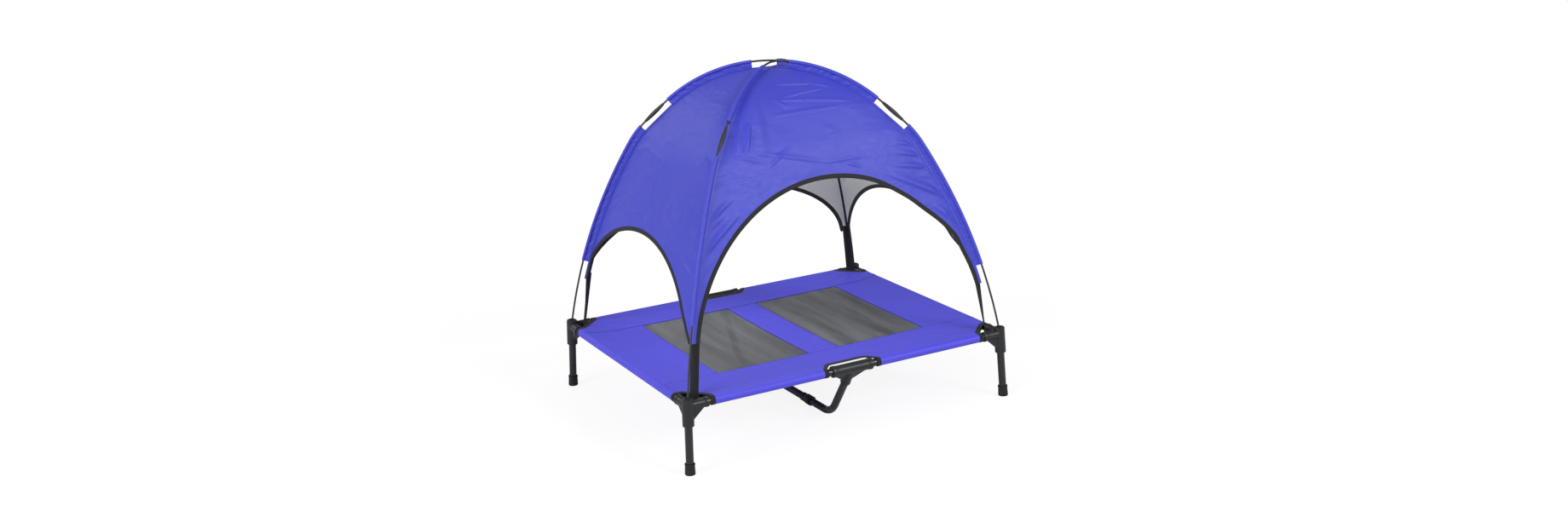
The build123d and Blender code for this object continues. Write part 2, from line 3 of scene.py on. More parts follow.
import logging
import math
import random
from collections.abc import Callable, Iterator, Sequence
from contextlib import contextmanager
from dataclasses import dataclass
from enum import Enum
from functools import cached_property

import bpy
import numpy as np
from mathutils import Matrix, Vector


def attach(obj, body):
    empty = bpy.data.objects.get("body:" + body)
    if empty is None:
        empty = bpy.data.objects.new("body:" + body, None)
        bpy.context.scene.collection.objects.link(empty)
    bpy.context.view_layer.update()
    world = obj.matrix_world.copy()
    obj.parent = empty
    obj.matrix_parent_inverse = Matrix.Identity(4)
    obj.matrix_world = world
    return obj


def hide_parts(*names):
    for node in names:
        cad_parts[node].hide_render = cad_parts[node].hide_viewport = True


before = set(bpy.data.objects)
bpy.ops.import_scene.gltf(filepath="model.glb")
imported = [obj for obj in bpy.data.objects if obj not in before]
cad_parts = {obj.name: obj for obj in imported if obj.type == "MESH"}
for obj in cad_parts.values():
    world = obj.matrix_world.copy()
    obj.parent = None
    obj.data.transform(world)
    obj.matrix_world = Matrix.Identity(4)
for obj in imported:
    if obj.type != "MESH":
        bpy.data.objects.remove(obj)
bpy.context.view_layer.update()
LOG = logging.getLogger("pet_cot")

Colour = tuple[float, float, float, float]
Point = Sequence[float]

HALF_L = 0.445
HALF_W = 0.355
DIAGONAL = math.hypot(HALF_L, HALF_W)
COS_D = HALF_L / DIAGONAL
SIN_D = HALF_W / DIAGONAL
UP = Vector((0.0, 0.0, 1.0))
TURN = 2.0 * math.pi


def paint(*chart: int) -> Colour:
    """Blender's linear colour for the red, green and blue of a paint chart, 0 to 255."""
    parts = [value / 255.0 for value in chart]
    return (*(p / 12.92 if p <= 0.04045 else ((p + 0.055) / 1.055) ** 2.4 for p in parts), 1.0)


def shade(colour: Colour, factor: float) -> Colour:
    """A linear colour made lighter or darker by a factor."""
    return (*(min(part * factor, 1.0) for part in colour[:3]), 1.0)


def ease(value: np.ndarray) -> np.ndarray:
    """Smooth step from 0 to 1."""
    clipped = np.clip(value, 0.0, 1.0)
    return clipped * clipped * (3.0 - 2.0 * clipped)


class Side(Enum):
    """A side of the cot: the way it faces, and the way its canopy panel runs."""

    FRONT = ((0, -1), (1, 0))
    RIGHT = ((1, 0), (0, 1))
    REAR = ((0, 1), (-1, 0))
    LEFT = ((-1, 0), (0, -1))

    @property
    def label(self) -> str:
        """Name of the side as the frame's nodes use it."""
        return self.name.lower()

    @property
    def out(self) -> Vector:
        """Level direction that the side faces."""
        return Vector((*self.value[0], 0.0))

    @property
    def along(self) -> Vector:
        """Level direction along the side."""
        return Vector((*self.value[1], 0.0))

    @property
    def is_long(self) -> bool:
        """Whether the side is one of the two long ones."""
        return self.value[1][0] != 0


class Corner(Enum):
    """A corner of the cot, by the signs of its X and Y."""

    FRONT_LEFT = (-1, -1)
    FRONT_RIGHT = (1, -1)
    REAR_LEFT = (-1, 1)
    REAR_RIGHT = (1, 1)

    @property
    def label(self) -> str:
        """Name of the corner as the frame's nodes use it."""
        return self.name.lower()

    @property
    def out(self) -> Vector:
        """Level direction from the middle of the cot to the corner."""
        return Vector((self.value[0] * COS_D, self.value[1] * SIN_D, 0.0))

    @property
    def sides(self) -> list[tuple[Side, float]]:
        """The two panels that meet here, each with the end of it that does."""
        found = []
        for side in Side:
            if side.out.dot(self.out) > 0:
                found.append((side, 1.0 if side.along.dot(self.out) > 0 else -1.0))
        return found


class Signal:
    """A value in a shader that takes part in Python arithmetic."""

    def __init__(self, shader: "Shader", socket: bpy.types.NodeSocket) -> None:
        """Wrap one output of a node."""
        self.shader = shader
        self.socket = socket

    def __add__(self, other: "Signal | float") -> "Signal":
        """Sum of two values."""
        return self.shader.math("ADD", self, other)

    def __sub__(self, other: "Signal | float") -> "Signal":
        """Difference of two values."""
        return self.shader.math("SUBTRACT", self, other)

    def __rsub__(self, other: float) -> "Signal":
        """A number less this value."""
        return self.shader.math("SUBTRACT", other, self)

    def __mul__(self, other: "Signal | float") -> "Signal":
        """Product of two values."""
        return self.shader.math("MULTIPLY", self, other)

    def __gt__(self, other: "Signal | float") -> "Signal":
        """1 where this value is greater."""
        return self.shader.math("GREATER_THAN", self, other)

    def __lt__(self, other: "Signal | float") -> "Signal":
        """1 where this value is less."""
        return self.shader.math("LESS_THAN", self, other)

    def __abs__(self) -> "Signal":
        """Size of the value without its sign."""
        return self.shader.math("ABSOLUTE", self)

    def sine(self) -> "Signal":
        """Sine of the value in radians."""
        return self.shader.math("SINE", self)

    def fraction(self) -> "Signal":
        """What is left of the value after its whole part."""
        return self.shader.math("FRACT", self)

    def at_least(self, other: "Signal | float") -> "Signal":
        """The greater of two values."""
        return self.shader.math("MAXIMUM", self, other)

    def between(self, low: float, high: float) -> "Signal":
        """Smooth step from 0 at low to 1 at high."""
        sockets = {"Value": self, "From Min": low, "From Max": high}
        return self.shader.node("ShaderNodeMapRange", {"interpolation_type": "SMOOTHSTEP"}, sockets)

    __radd__ = __add__
    __rmul__ = __mul__


class Shader:
    """One material in the making."""

    def __init__(self, name: str) -> None:
        """Start a material with an empty principled surface."""
        self.material = bpy.data.materials.new(name)
        self.material.use_nodes = True
        self.nodes = self.material.node_tree.nodes
        self.links = self.material.node_tree.links
        self.surface = self.nodes["Principled BSDF"]

    def feed(self, socket: bpy.types.NodeSocket, value: object) -> None:
        """Link a signal to a socket, or set a plain value on it."""
        if isinstance(value, Signal):
            self.links.new(value.socket, socket)
        else:
            socket.default_value = value

    def node(self, kind: str, settings: dict | None = None, sockets: dict | None = None,
             output: int | str = 0) -> Signal:
        """Add a node.

        Args:
            kind: the node's type.
            settings: its own settings, which are set first.
            sockets: values or signals for its inputs, by name or number.
            output: which of its outputs is wanted.

        Returns:
            The wanted output.
        """
        made = self.nodes.new(kind)
        for key, value in (settings or {}).items():
            setattr(made, key, value)
        for key, value in (sockets or {}).items():
            self.feed(made.inputs[key], value)
        return Signal(self, made.outputs[output])

    def math(self, operation: str, first: Signal | float, second: Signal | float = 0.0) -> Signal:
        """Add a Math node for one step of arithmetic."""
        return self.node("ShaderNodeMath", {"operation": operation}, {0: first, 1: second})

    def mix(self, factor: Signal, first: Colour | Signal, second: Colour | Signal) -> Signal:
        """Mix two colours by a factor."""
        return self.node("ShaderNodeMix", {"data_type": "RGBA"}, {0: factor, 6: first, 7: second}, 2)

    def cloth_place(self) -> tuple[Signal, Signal]:
        """Place on a piece's own cloth, in metres along and across."""
        place = self.node("ShaderNodeTexCoord", output="UV")
        split = {"Vector": place}
        return (self.node("ShaderNodeSeparateXYZ", sockets=split, output="X"),
                self.node("ShaderNodeSeparateXYZ", sockets=split, output="Y"))

    def noise(self, scale: float, detail: float = 2.0, on: str = "Object", stretch: Point = (1, 1, 1)) -> Signal:
        """Soft noise.

        Args:
            scale: spots to the metre.
            detail: how many finer layers it has.
            on: the coordinates that it lies on, Object or UV.
            stretch: the scale along each axis.

        Returns:
            The noise, from 0 to 1 about 0.5.
        """
        place = self.node("ShaderNodeTexCoord", output=on)
        place = self.node("ShaderNodeMapping", sockets={"Vector": place, "Scale": stretch})
        return self.node("ShaderNodeTexNoise", sockets={"Vector": place, "Scale": scale, "Detail": detail})

    def bump(self, height: Signal, depth: float, strength: float = 1.0, below: Signal | None = None) -> Signal:
        """Raise the surface.

        Args:
            height: relief from 0 to 1.
            depth: how far 1 stands out, in metres.
            strength: share of the relief that shows.
            below: another relief that this one lies on.

        Returns:
            The bent normal.
        """
        sockets = {"Height": height, "Distance": depth, "Strength": strength}
        if below is not None:
            sockets["Normal"] = below
        return self.node("ShaderNodeBump", sockets=sockets)

    def finish(self, **values: object) -> None:
        """Set the surface's sockets, with spaces of their names written as underscores."""
        for key, value in values.items():
            self.feed(self.surface.inputs[key.replace("_", " ")], value)


@dataclass(frozen=True)
class Finish:
    """A finish that is mixed once and put on any number of pieces."""

    name: str
    colour: Colour
    roughness: float

    def mix_paint(self, shader: Shader) -> None:
        """Wire up the finish; each kind of finish has its own way."""
        raise NotImplementedError

    def material(self) -> bpy.types.Material:
        """The finish as a material, made at its first use."""
        found = bpy.data.materials.get(self.name)
        if found is None:
            shader = Shader(self.name)
            self.mix_paint(shader)
            found = shader.material
        return found


@dataclass(frozen=True)
class WovenCloth(Finish):
    """Plain weave of dyed polyester, with a soft sheen, crumpled patches and a few thin creases."""

    thread: float = 0.0011
    weave: float = 0.00012
    crumple: float = 0.0024
    crease: float = 0.0004
    sheen: float = 0.06

    def weave_relief(self, shader: Shader) -> Signal:
        """Threads that go over and under each other."""
        along, across = shader.cloth_place()
        step = math.pi / self.thread
        return (along * step).sine() * (across * step).sine() * 0.5 + 0.5

    def mix_paint(self, shader: Shader) -> None:
        """Threads, crumples, and a tone that drifts over the cloth."""
        threads = self.weave_relief(shader)
        drift = shader.noise(7.0, 3.0, "UV")
        flecks = shader.noise(1400.0, 1.0, "UV", (1.0, 0.35, 1.0))
        tone = drift * 0.55 + flecks * 0.25 + threads * 0.2
        colour = shader.mix(tone, shade(self.colour, 0.90), shade(self.colour, 1.10))
        patches = shader.noise(7.5, 1.0, "UV").between(0.46, 0.62)
        crumples = shader.noise(46.0, 3.0, "UV", (0.8, 1.2, 1.0)) * patches
        lines = abs(shader.noise(9.0, 2.0, "UV", (0.6, 1.5, 1.0)) - 0.5).between(0.0, 0.012)
        relief = shader.bump(crumples, self.crumple, 0.8)
        relief = shader.bump(lines * (0.3 + patches * 0.7), self.crease, 0.7, relief)
        relief = shader.bump(threads, self.weave, 0.5, relief)
        rough = shader.noise(60.0, 2.0, "UV") * 0.16 + (self.roughness - 0.08)
        shader.finish(Base_Color=colour, Roughness=rough, Normal=relief, Sheen_Weight=self.sheen,
                      Sheen_Roughness=0.45, Specular_IOR_Level=0.5)


@dataclass(frozen=True)
class SheetCloth(WovenCloth):
    """Heavy cot cloth, stitched where its parts and its rail sleeves are sewn."""

    stitch: float = 0.0042
    sleeve_seam: float = 0.038

    def mix_paint(self, shader: Shader) -> None:
        """The weave, with rows of thread along the sleeves."""
        super().mix_paint(shader)
        along, across = shader.cloth_place()
        rows = None
        for place, run, half in ((across, along, HALF_W), (along, across, HALF_L)):
            for step in (0.0, 0.007):
                off = abs(abs(place) - (half - self.sleeve_seam + step))
                dash = (run * (1.0 / self.stitch)).fraction() < 0.62
                row = (off < 0.0006) * dash
                rows = row if rows is None else rows.at_least(row)
        base = Signal(shader, shader.surface.inputs["Base Color"].links[0].from_socket)
        below = Signal(shader, shader.surface.inputs["Normal"].links[0].from_socket)
        colour = shader.mix(rows * 0.6, base, shade(self.colour, 0.55))
        shader.finish(Base_Color=colour, Normal=shader.bump(rows, 0.0003, 0.8, below))


@dataclass(frozen=True)
class NetCloth(Finish):
    """Coated open net: thick threads about small square holes."""

    pitch: float = 0.0026
    hole: float = 0.30

    def mix_paint(self, shader: Shader) -> None:
        """Threads, holes between them, and long soft light streaks painted in as reflections."""
        along, across = shader.cloth_place()
        step = math.pi / self.pitch
        ribs = abs((along * step).sine())
        bars = abs((across * step).sine())
        thread = ribs.at_least(bars)
        limit = math.cos(math.pi * (1.0 - self.hole) / 2.0) + 0.25
        cover = 1.0 - (ribs > limit) * (bars > limit)
        # Long soft streaks that lighten the net's colour are painted reflection; the same streaks also vary its
        # roughness.
        reflection_streaks = shader.noise(9.0, 3.0, "UV", (2.6, 0.25, 1.0))
        tone = (reflection_streaks - 0.32) * 2.2
        colour = shader.mix(tone, shade(self.colour, 0.66), shade(self.colour, 1.7))
        shader.finish(Base_Color=colour, Roughness=reflection_streaks * 0.2 + (self.roughness - 0.1), Alpha=cover,
                      Normal=shader.bump(1.0 - thread, 0.0005, 0.8), Specular_IOR_Level=0.45)


@dataclass(frozen=True)
class WovenTape(Finish):
    """Black tape or webbing: ribs across it, and a row of stitches along each edge."""

    width: float
    rib: float = 0.0016
    depth: float = 0.0002
    stitch: float = 0.0038
    edge: float = 0.0022

    def mix_paint(self, shader: Shader) -> None:
        """Ribs, fuzz and stitches, by the tape's own length and width."""
        along, across = shader.cloth_place()
        ribs = (along * (TURN / self.rib)).sine() * 0.5 + 0.5
        strands = (across * (TURN / (self.rib * 1.3))).sine() * 0.5 + 0.5
        fuzz = shader.noise(900.0, 2.0, "UV")
        row = abs(abs(across) - (self.width / 2.0 - self.edge)) < 0.0004
        dash = (along * (1.0 / self.stitch)).fraction() < 0.6
        sewn = row * dash
        tone = ribs * 0.35 + strands * 0.25 + fuzz * 0.4
        colour = shader.mix(tone, shade(self.colour, 0.7), shade(self.colour, 1.35))
        colour = shader.mix(sewn * 0.8, colour, shade(self.colour, 2.4))
        relief = shader.bump(ribs * strands, self.depth, 0.8)
        relief = shader.bump(sewn, 0.0003, 0.8, relief)
        shader.finish(Base_Color=colour, Roughness=fuzz * 0.2 + (self.roughness - 0.1), Normal=relief,
                      Sheen_Weight=0.05, Sheen_Roughness=0.5, Specular_IOR_Level=0.3)


@dataclass(frozen=True)
class Moulding(Finish):
    """Moulded plastic or rubber with a fine spark-eroded grain and scuffs."""

    grain: float = 1500.0
    depth: float = 0.00008

    def mix_paint(self, shader: Shader) -> None:
        """Grain, cloudy gloss and a few scuffs."""
        grain = shader.noise(self.grain, 2.0)
        cloud = shader.noise(45.0, 3.0)
        scuffs = shader.noise(160.0, 4.0, "Object", (1.0, 1.0, 0.25)).between(0.62, 0.74)
        colour = shader.mix(cloud, shade(self.colour, 0.86), shade(self.colour, 1.14))
        colour = shader.mix(scuffs * 0.35, colour, shade(self.colour, 1.9))
        rough = cloud * 0.14 + scuffs * 0.12 + (self.roughness - 0.07)
        shader.finish(Base_Color=colour, Roughness=rough, Normal=shader.bump(grain, self.depth, 0.6),
                      Specular_IOR_Level=0.35)


@dataclass(frozen=True)
class CoatedTube(Finish):
    """Steel tube under a satin powder coat."""

    peel: float = 420.0
    depth: float = 0.00006

    def mix_paint(self, shader: Shader) -> None:
        """Orange peel, faint lengthwise drift, and a thin clear gloss."""
        peel = shader.noise(self.peel, 2.0)
        drift = shader.noise(30.0, 3.0)
        specks = shader.noise(700.0, 1.0).between(0.70, 0.78)
        colour = shader.mix(drift, shade(self.colour, 0.85), shade(self.colour, 1.15))
        colour = shader.mix(specks * 0.3, colour, shade(self.colour, 2.0))
        shader.finish(Base_Color=colour, Roughness=drift * 0.1 + (self.roughness - 0.05),
                      Normal=shader.bump(peel, self.depth, 0.5), Coat_Weight=0.15, Coat_Roughness=0.2)


@dataclass(frozen=True)
class TurnedMetal(Finish):
    """Bare drawn metal with fine lines round it."""

    lines: float = 2600.0

    def mix_paint(self, shader: Shader) -> None:
        """Drawing lines and slight tarnish."""
        lines = shader.noise(self.lines, 1.0, "Object", (1.0, 0.1, 0.1))
        tarnish = shader.noise(240.0, 3.0)
        colour = shader.mix(tarnish, shade(self.colour, 0.75), shade(self.colour, 1.1))
        shader.finish(Base_Color=colour, Roughness=tarnish * 0.2 + (self.roughness - 0.1), Metallic=1.0,
                      Normal=shader.bump(lines, 0.00003, 0.5))


BLUE_CLOTH = WovenCloth("canopy_weave", paint(58, 64, 189), 0.52)
GREY_LINING = WovenCloth("canopy_lining", paint(212, 214, 202), 0.5, crumple=0.0012)
COT_CLOTH = SheetCloth("cot_weave", paint(70, 65, 210), 0.56, thread=0.0014, weave=0.0002,
                       crumple=0.0010, crease=0.0002)
NET = NetCloth("window_net", paint(95, 98, 103), 0.5)
ARCH_TAPE = WovenTape("arch_tape", paint(32, 33, 36), 0.7, width=0.010)
RIDGE_TAPE = WovenTape("ridge_tape", paint(30, 30, 33), 0.7, width=0.010)
EDGE_TAPE = WovenTape("edge_tape", paint(26, 26, 28), 0.72, width=0.011)
WEBBING = WovenTape("strap_webbing", paint(24, 24, 26), 0.7, width=0.022, rib=0.0024, depth=0.0004, edge=0.003)
# Dark blue strips laid along the seams' inner edges and beside the nets: painted shadow of the seam edges, dressed
# as fine tape.
SEAM_SHADOW_STRIP = WovenTape("seam_painted_shadow", paint(30, 28, 104), 0.7, width=0.002, rib=0.0012, depth=0.0001, edge=0.0005)
TUBE_COAT = CoatedTube("tube_coat", paint(20, 21, 24), 0.27)
HARD_PLASTIC = Moulding("moulded_plastic", paint(34, 36, 40), 0.37)
SOFT_RUBBER = Moulding("foot_rubber", paint(22, 24, 28), 0.55, grain=900.0)
JOINT_PLASTIC = Moulding("joint_plastic", paint(50, 50, 52), 0.38)
ROD_COAT = CoatedTube("rod_coat", paint(42, 42, 44), 0.34, peel=900.0, depth=0.00003)
FERRULE_METAL = TurnedMetal("ferrule_metal", paint(112, 112, 115), 0.34)


class Bench:
    """The workbench: Blender's operators, one plain step each."""

    @staticmethod
    def pick(*pieces: bpy.types.Object) -> None:
        """Select these pieces and nothing else; the first becomes the active one.

        Args:
            pieces: what is selected.
        """
        bpy.ops.object.select_all(action="DESELECT")
        for piece in pieces:
            piece.select_set(True)
        if pieces:
            bpy.context.view_layer.objects.active = pieces[0]

    @staticmethod
    @contextmanager
    def editing(piece: bpy.types.Object, first: str = "SELECT") -> Iterator[None]:
        """Edit a piece's mesh.

        Args:
            piece: what is edited.
            first: what is done to the mesh's selection first, or an empty word where it stays.

        Yields:
            Nothing, while the mesh is open.
        """
        Bench.pick(piece)
        bpy.ops.object.mode_set(mode="EDIT")
        if first:
            bpy.ops.mesh.select_all(action=first)
        yield
        bpy.ops.object.mode_set(mode="OBJECT")

    @staticmethod
    def name(name: str) -> bpy.types.Object:
        """Name the piece that was just added."""
        piece = bpy.context.active_object
        piece.name = name
        piece.data.name = name
        return piece

    @staticmethod
    def lay(name: str, places: np.ndarray, spread: np.ndarray) -> bpy.types.Object:
        """Lay a grid of cloth over a surface.

        Args:
            name: name of the new piece.
            places: where its points go, as rows by columns by three.
            spread: place of each point on the flat cloth, as rows by columns by two.

        Returns:
            The grid, with its flat cloth as its UV map.
        """
        rows, columns = places.shape[:2]
        Bench.pick()
        bpy.ops.mesh.primitive_grid_add(x_subdivisions=columns - 1, y_subdivisions=rows - 1, size=2.0)
        piece = Bench.name(name)
        mesh = piece.data
        mesh.vertices.foreach_set("co", places.reshape(-1).astype(np.float32))
        owners = np.empty(len(mesh.loops), np.int32)
        mesh.loops.foreach_get("vertex_index", owners)
        flat = spread.reshape(-1, 2)[owners].astype(np.float32)
        mesh.uv_layers.active.data.foreach_set("uv", flat.reshape(-1))
        mesh.update()
        return piece

    @staticmethod
    def sweep(name: str, sections: Sequence[Sequence[Vector]], closed: bool = False) -> bpy.types.Object:
        """Lay cloth or tape through a row of sections.

        Args:
            name: name of the new piece.
            sections: the points of each section in turn.
            closed: whether each section closes on itself.

        Returns:
            The piece, with its length and width in metres as its UV map.
        """
        places = np.array([[tuple(point) for point in section] for section in sections])
        if closed:
            places = np.concatenate([places, places[:, :1]], axis=1)
        middle = places.shape[1] // 2
        along = np.linalg.norm(np.diff(places[:, middle], axis=0), axis=1)
        along = np.concatenate([[0.0], np.cumsum(along)])
        across = np.linalg.norm(np.diff(places[len(places) // 2], axis=0), axis=1)
        across = np.concatenate([[0.0], np.cumsum(across)])
        across -= across[-1] / 2.0
        spread = np.stack(np.meshgrid(along, across, indexing="ij"), axis=-1)
        piece = Bench.lay(name, places, spread)
        if closed:
            Bench.weld(piece)
            Bench.cap(piece)
        return piece

    @staticmethod
    def modify(piece: bpy.types.Object, kind: str, **settings: object) -> None:
        """Add a modifier with these settings and apply it.

        Args:
            piece: what is worked on.
            kind: the modifier's type.
            settings: its settings.
        """
        Bench.pick(piece)
        modifier = piece.modifiers.new(kind.lower(), kind)
        for key, value in settings.items():
            setattr(modifier, key, value)
        bpy.ops.object.modifier_apply(modifier=modifier.name)

    @staticmethod
    def thicken(piece: bpy.types.Object, thickness: float, inner: int = 0) -> None:
        """Give a sheet its thickness, inwards from its outer face, with another finish inside."""
        Bench.modify(piece, "SOLIDIFY", thickness=thickness, offset=-1.0, material_offset=inner)

    @staticmethod
    def weld(piece: bpy.types.Object, within: float = 1e-6) -> None:
        """Merge points that lie in the same place."""
        with Bench.editing(piece):
            bpy.ops.mesh.remove_doubles(threshold=within)

    @staticmethod
    def cap(piece: bpy.types.Object) -> None:
        """Close the open ends and turn all faces outwards."""
        with Bench.editing(piece):
            bpy.ops.mesh.fill_holes(sides=0)
            bpy.ops.mesh.select_all(action="SELECT")
            bpy.ops.mesh.normals_make_consistent(inside=False)

    @staticmethod
    def join(name: str, pieces: Sequence[bpy.types.Object]) -> bpy.types.Object:
        """Make several pieces one."""
        Bench.pick(*pieces)
        if len(pieces) > 1:
            bpy.ops.object.join()
        return Bench.name(name)

    @staticmethod
    def smooth(piece: bpy.types.Object, angle: float = 40.0) -> None:
        """Shade smooth, but for edges sharper than an angle in degrees."""
        Bench.pick(piece)
        bpy.ops.object.shade_smooth_by_angle(angle=math.radians(angle))

    @staticmethod
    def dress(piece: bpy.types.Object, body: str, slot: str, *finishes: Finish) -> bpy.types.Object:
        """Give a piece its finishes, unless it has them, and the body that it rides on.

        Args:
            piece: what is worked on.
            body: the body that it rides on.
            slot: not used.
            finishes: its finishes, if it has none yet.

        Returns:
            The same piece.
        """
        if finishes:
            piece.data.materials.clear()
        for finish in finishes:
            piece.data.materials.append(finish.material())
        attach(piece, body)
        LOG.info("%s: %d faces on %s", piece.name, len(piece.data.polygons), body)
        return piece


@dataclass(frozen=True)
class Stretch:
    """One stretch of a pole: an arc about a centre, or a straight line where it has no radius."""

    begin: float
    slope: float
    radius: float
    base: tuple[float, float]


@dataclass(frozen=True)
class PoleLine:
    """Half a canopy pole in its upright plane, from the crossing at the top down to its cup."""

    top_z: float = 0.8775
    apex_r: float = 0.418
    joint_slope: float = math.radians(42.3)
    joint_length: float = 0.066
    shoulder_r: float = 0.266
    side_slope: float = math.radians(58.2)
    cup_z: float = 0.172
    fin: float = 0.015
    crossing: float = 0.0026

    @cached_property
    def stretches(self) -> list[Stretch]:
        """Arc at the top, straight joint, shoulder and long side."""
        joint_out, side_out = (np.array((math.sin(slope), math.cos(slope)))
                               for slope in (self.joint_slope, self.side_slope))
        downhill = np.array((joint_out[1], -joint_out[0]))
        apex = np.array((0.0, self.top_z - self.apex_r))
        joint = apex + joint_out * self.apex_r
        joint_at = self.apex_r * self.joint_slope
        foot = joint + downhill * self.joint_length
        shoulder = foot - joint_out * self.shoulder_r
        shoulder_at = joint_at + self.joint_length
        side_start = shoulder + side_out * self.shoulder_r
        side_at = shoulder_at + self.shoulder_r * (self.side_slope - self.joint_slope)
        to_cup = np.array((DIAGONAL, self.cup_z)) - side_start
        side_r = -float(to_cup @ to_cup) / (2.0 * float(to_cup @ side_out))
        side = side_start - side_out * side_r
        return [
            Stretch(0.0, 0.0, self.apex_r, tuple(apex)),
            Stretch(joint_at, self.joint_slope, 0.0, tuple(joint)),
            Stretch(shoulder_at, self.joint_slope, self.shoulder_r, tuple(shoulder)),
            Stretch(side_at, self.side_slope, side_r, tuple(side)),
        ]

    def at(self, run: np.ndarray | float, inset: float = 0.0) -> tuple[np.ndarray, np.ndarray, np.ndarray]:
        """Follow the pole.

        Args:
            run: distances along the pole from the crossing.
            inset: how far the line is moved inwards.

        Returns:
            Distance from the middle of the cot, height, and slope below the level.
        """
        run = np.asarray(run, float)
        reach, height, slope = np.zeros(run.shape), np.zeros(run.shape), np.zeros(run.shape)
        for part in self.stretches:
            here = run >= part.begin
            step = run - part.begin
            turn = part.slope + (step / part.radius if part.radius else 0.0 * step)
            out = part.radius - inset
            ahead = 0.0 * step if part.radius else step
            reach = np.where(here, part.base[0] + out * np.sin(turn) + ahead * np.cos(turn), reach)
            height = np.where(here, part.base[1] + out * np.cos(turn) - ahead * np.sin(turn), height)
            slope = np.where(here, turn, slope)
        return reach, height, slope

    def run_at(self, height: np.ndarray | float, inset: float = 0.0) -> np.ndarray:
        """Distance along the pole at which its line, moved inwards, passes a height."""
        runs = np.linspace(0.0, 1.0, 4001)
        heights = self.at(runs, inset)[1]
        return np.interp(-np.asarray(height, float), -heights, runs)

    def axes(self, corner: Corner, run: float) -> tuple[Vector, Vector, Vector, Vector]:
        """Set up at one place of a corner's pole.

        Args:
            corner: which pole end.
            run: distance from the crossing.

        Returns:
            The pole's axis point, the ridge under it, the outward and the sideways direction.
        """
        reach, height, slope = (float(value) for value in self.at(run))
        outward = corner.out * math.sin(slope) + UP * math.cos(slope)
        sideways = Vector((-corner.out.y, corner.out.x, 0.0))
        lift = UP * (-self.crossing * corner.value[0] * corner.value[1])
        axis = corner.out * reach + UP * height
        return axis + lift, axis - outward * self.fin, outward, sideways


@dataclass(frozen=True)
class Fold:
    """A crease in a panel, between two places given across the panel and down the pole."""

    start: tuple[float, float]
    end: tuple[float, float]
    width: float
    height: float
    from_seam: bool = True
    gentle: float = 1.5
    steep: float = 0.62

    def relief(self, across: np.ndarray, run: np.ndarray) -> np.ndarray:
        """How far the fold lifts the cloth at each place, gently above it and steeply under it.

        Args:
            across: distances from the panel's middle line.
            run: distances down the pole.

        Returns:
            The lift at each place.
        """
        line = np.subtract(self.end, self.start)
        length = float(np.hypot(*line))
        along = ((across - self.start[0]) * line[0] + (run - self.start[1]) * line[1]) / length ** 2
        inside = np.clip(along, 0.0, 1.0)
        gap_x = across - self.start[0] - inside * line[0]
        gap_y = run - self.start[1] - inside * line[1]
        fade = np.cos(inside * math.pi / 2.0) if self.from_seam else 1.0 - (2.0 * inside - 1.0) ** 2
        width = np.where(gap_y > 0.0, self.steep, self.gentle) * self.width
        share = (gap_x ** 2 + gap_y ** 2) / width ** 2
        return self.height * fade * (1.0 - 0.8 * share) * np.exp(-share)


@dataclass(frozen=True)
class Slack:
    """A place where the edge of an arch hangs in, or is drawn out where the depth is below zero."""

    end: float
    height: float
    spread: float
    depth: float


@dataclass(frozen=True)
class Arch:
    """Round or oval cut in the foot of a panel, which may hang off to one side."""

    half: float
    rise: float
    top: float
    aside: float = 0.0
    slacks: tuple[Slack, ...] = ()

    @property
    def centre(self) -> float:
        """Height of the arch's centre."""
        return self.top - self.rise

    def width(self, height: np.ndarray) -> np.ndarray:
        """Half of the cut's width at each height."""
        return self.half * np.sqrt(np.clip(1.0 - ((height - self.centre) / self.rise) ** 2, 0.0, 1.0))

    def margin(self, across: np.ndarray, height: np.ndarray) -> np.ndarray:
        """About how far outside the cut each place lies."""
        reach = np.hypot((across - self.aside) / self.half, (height - self.centre) / self.rise)
        return (reach - 1.0) * self.rise

    def hang(self, end: float, height: np.ndarray) -> np.ndarray:
        """How far the edge hangs in at one end of the panel.

        Args:
            end: -1.0 or 1.0, the end of the panel.
            height: heights to look at.

        Returns:
            The distances.
        """
        bumps = [np.zeros(height.shape)]
        for slack in self.slacks:
            if slack.end == end:
                bumps.append(slack.depth * np.exp(-((height - slack.height) / slack.spread) ** 2))
        return sum(bumps)

    def heights(self, foot: float, count: int) -> np.ndarray:
        """Heights along the cut, from one foot over the top to the other."""
        reach = math.acos((foot - self.centre) / self.rise)
        return self.centre + self.rise * np.cos(np.linspace(-reach, reach, count))


ARCHES = {
    Side.FRONT: Arch(0.410, 0.410, 0.627, slacks=(Slack(1.0, 0.570, 0.030, 0.010), Slack(1.0, 0.520, 0.034, 0.011),
                                                  Slack(1.0, 0.435, 0.026, -0.005))),
    Side.RIGHT: Arch(0.341, 0.275, 0.495, slacks=(Slack(-1.0, 0.411, 0.016, 0.012),)),
    Side.REAR: Arch(0.407, 0.217, 0.500, aside=0.012),
    Side.LEFT: Arch(0.326, 0.248, 0.490, aside=-0.027),
}

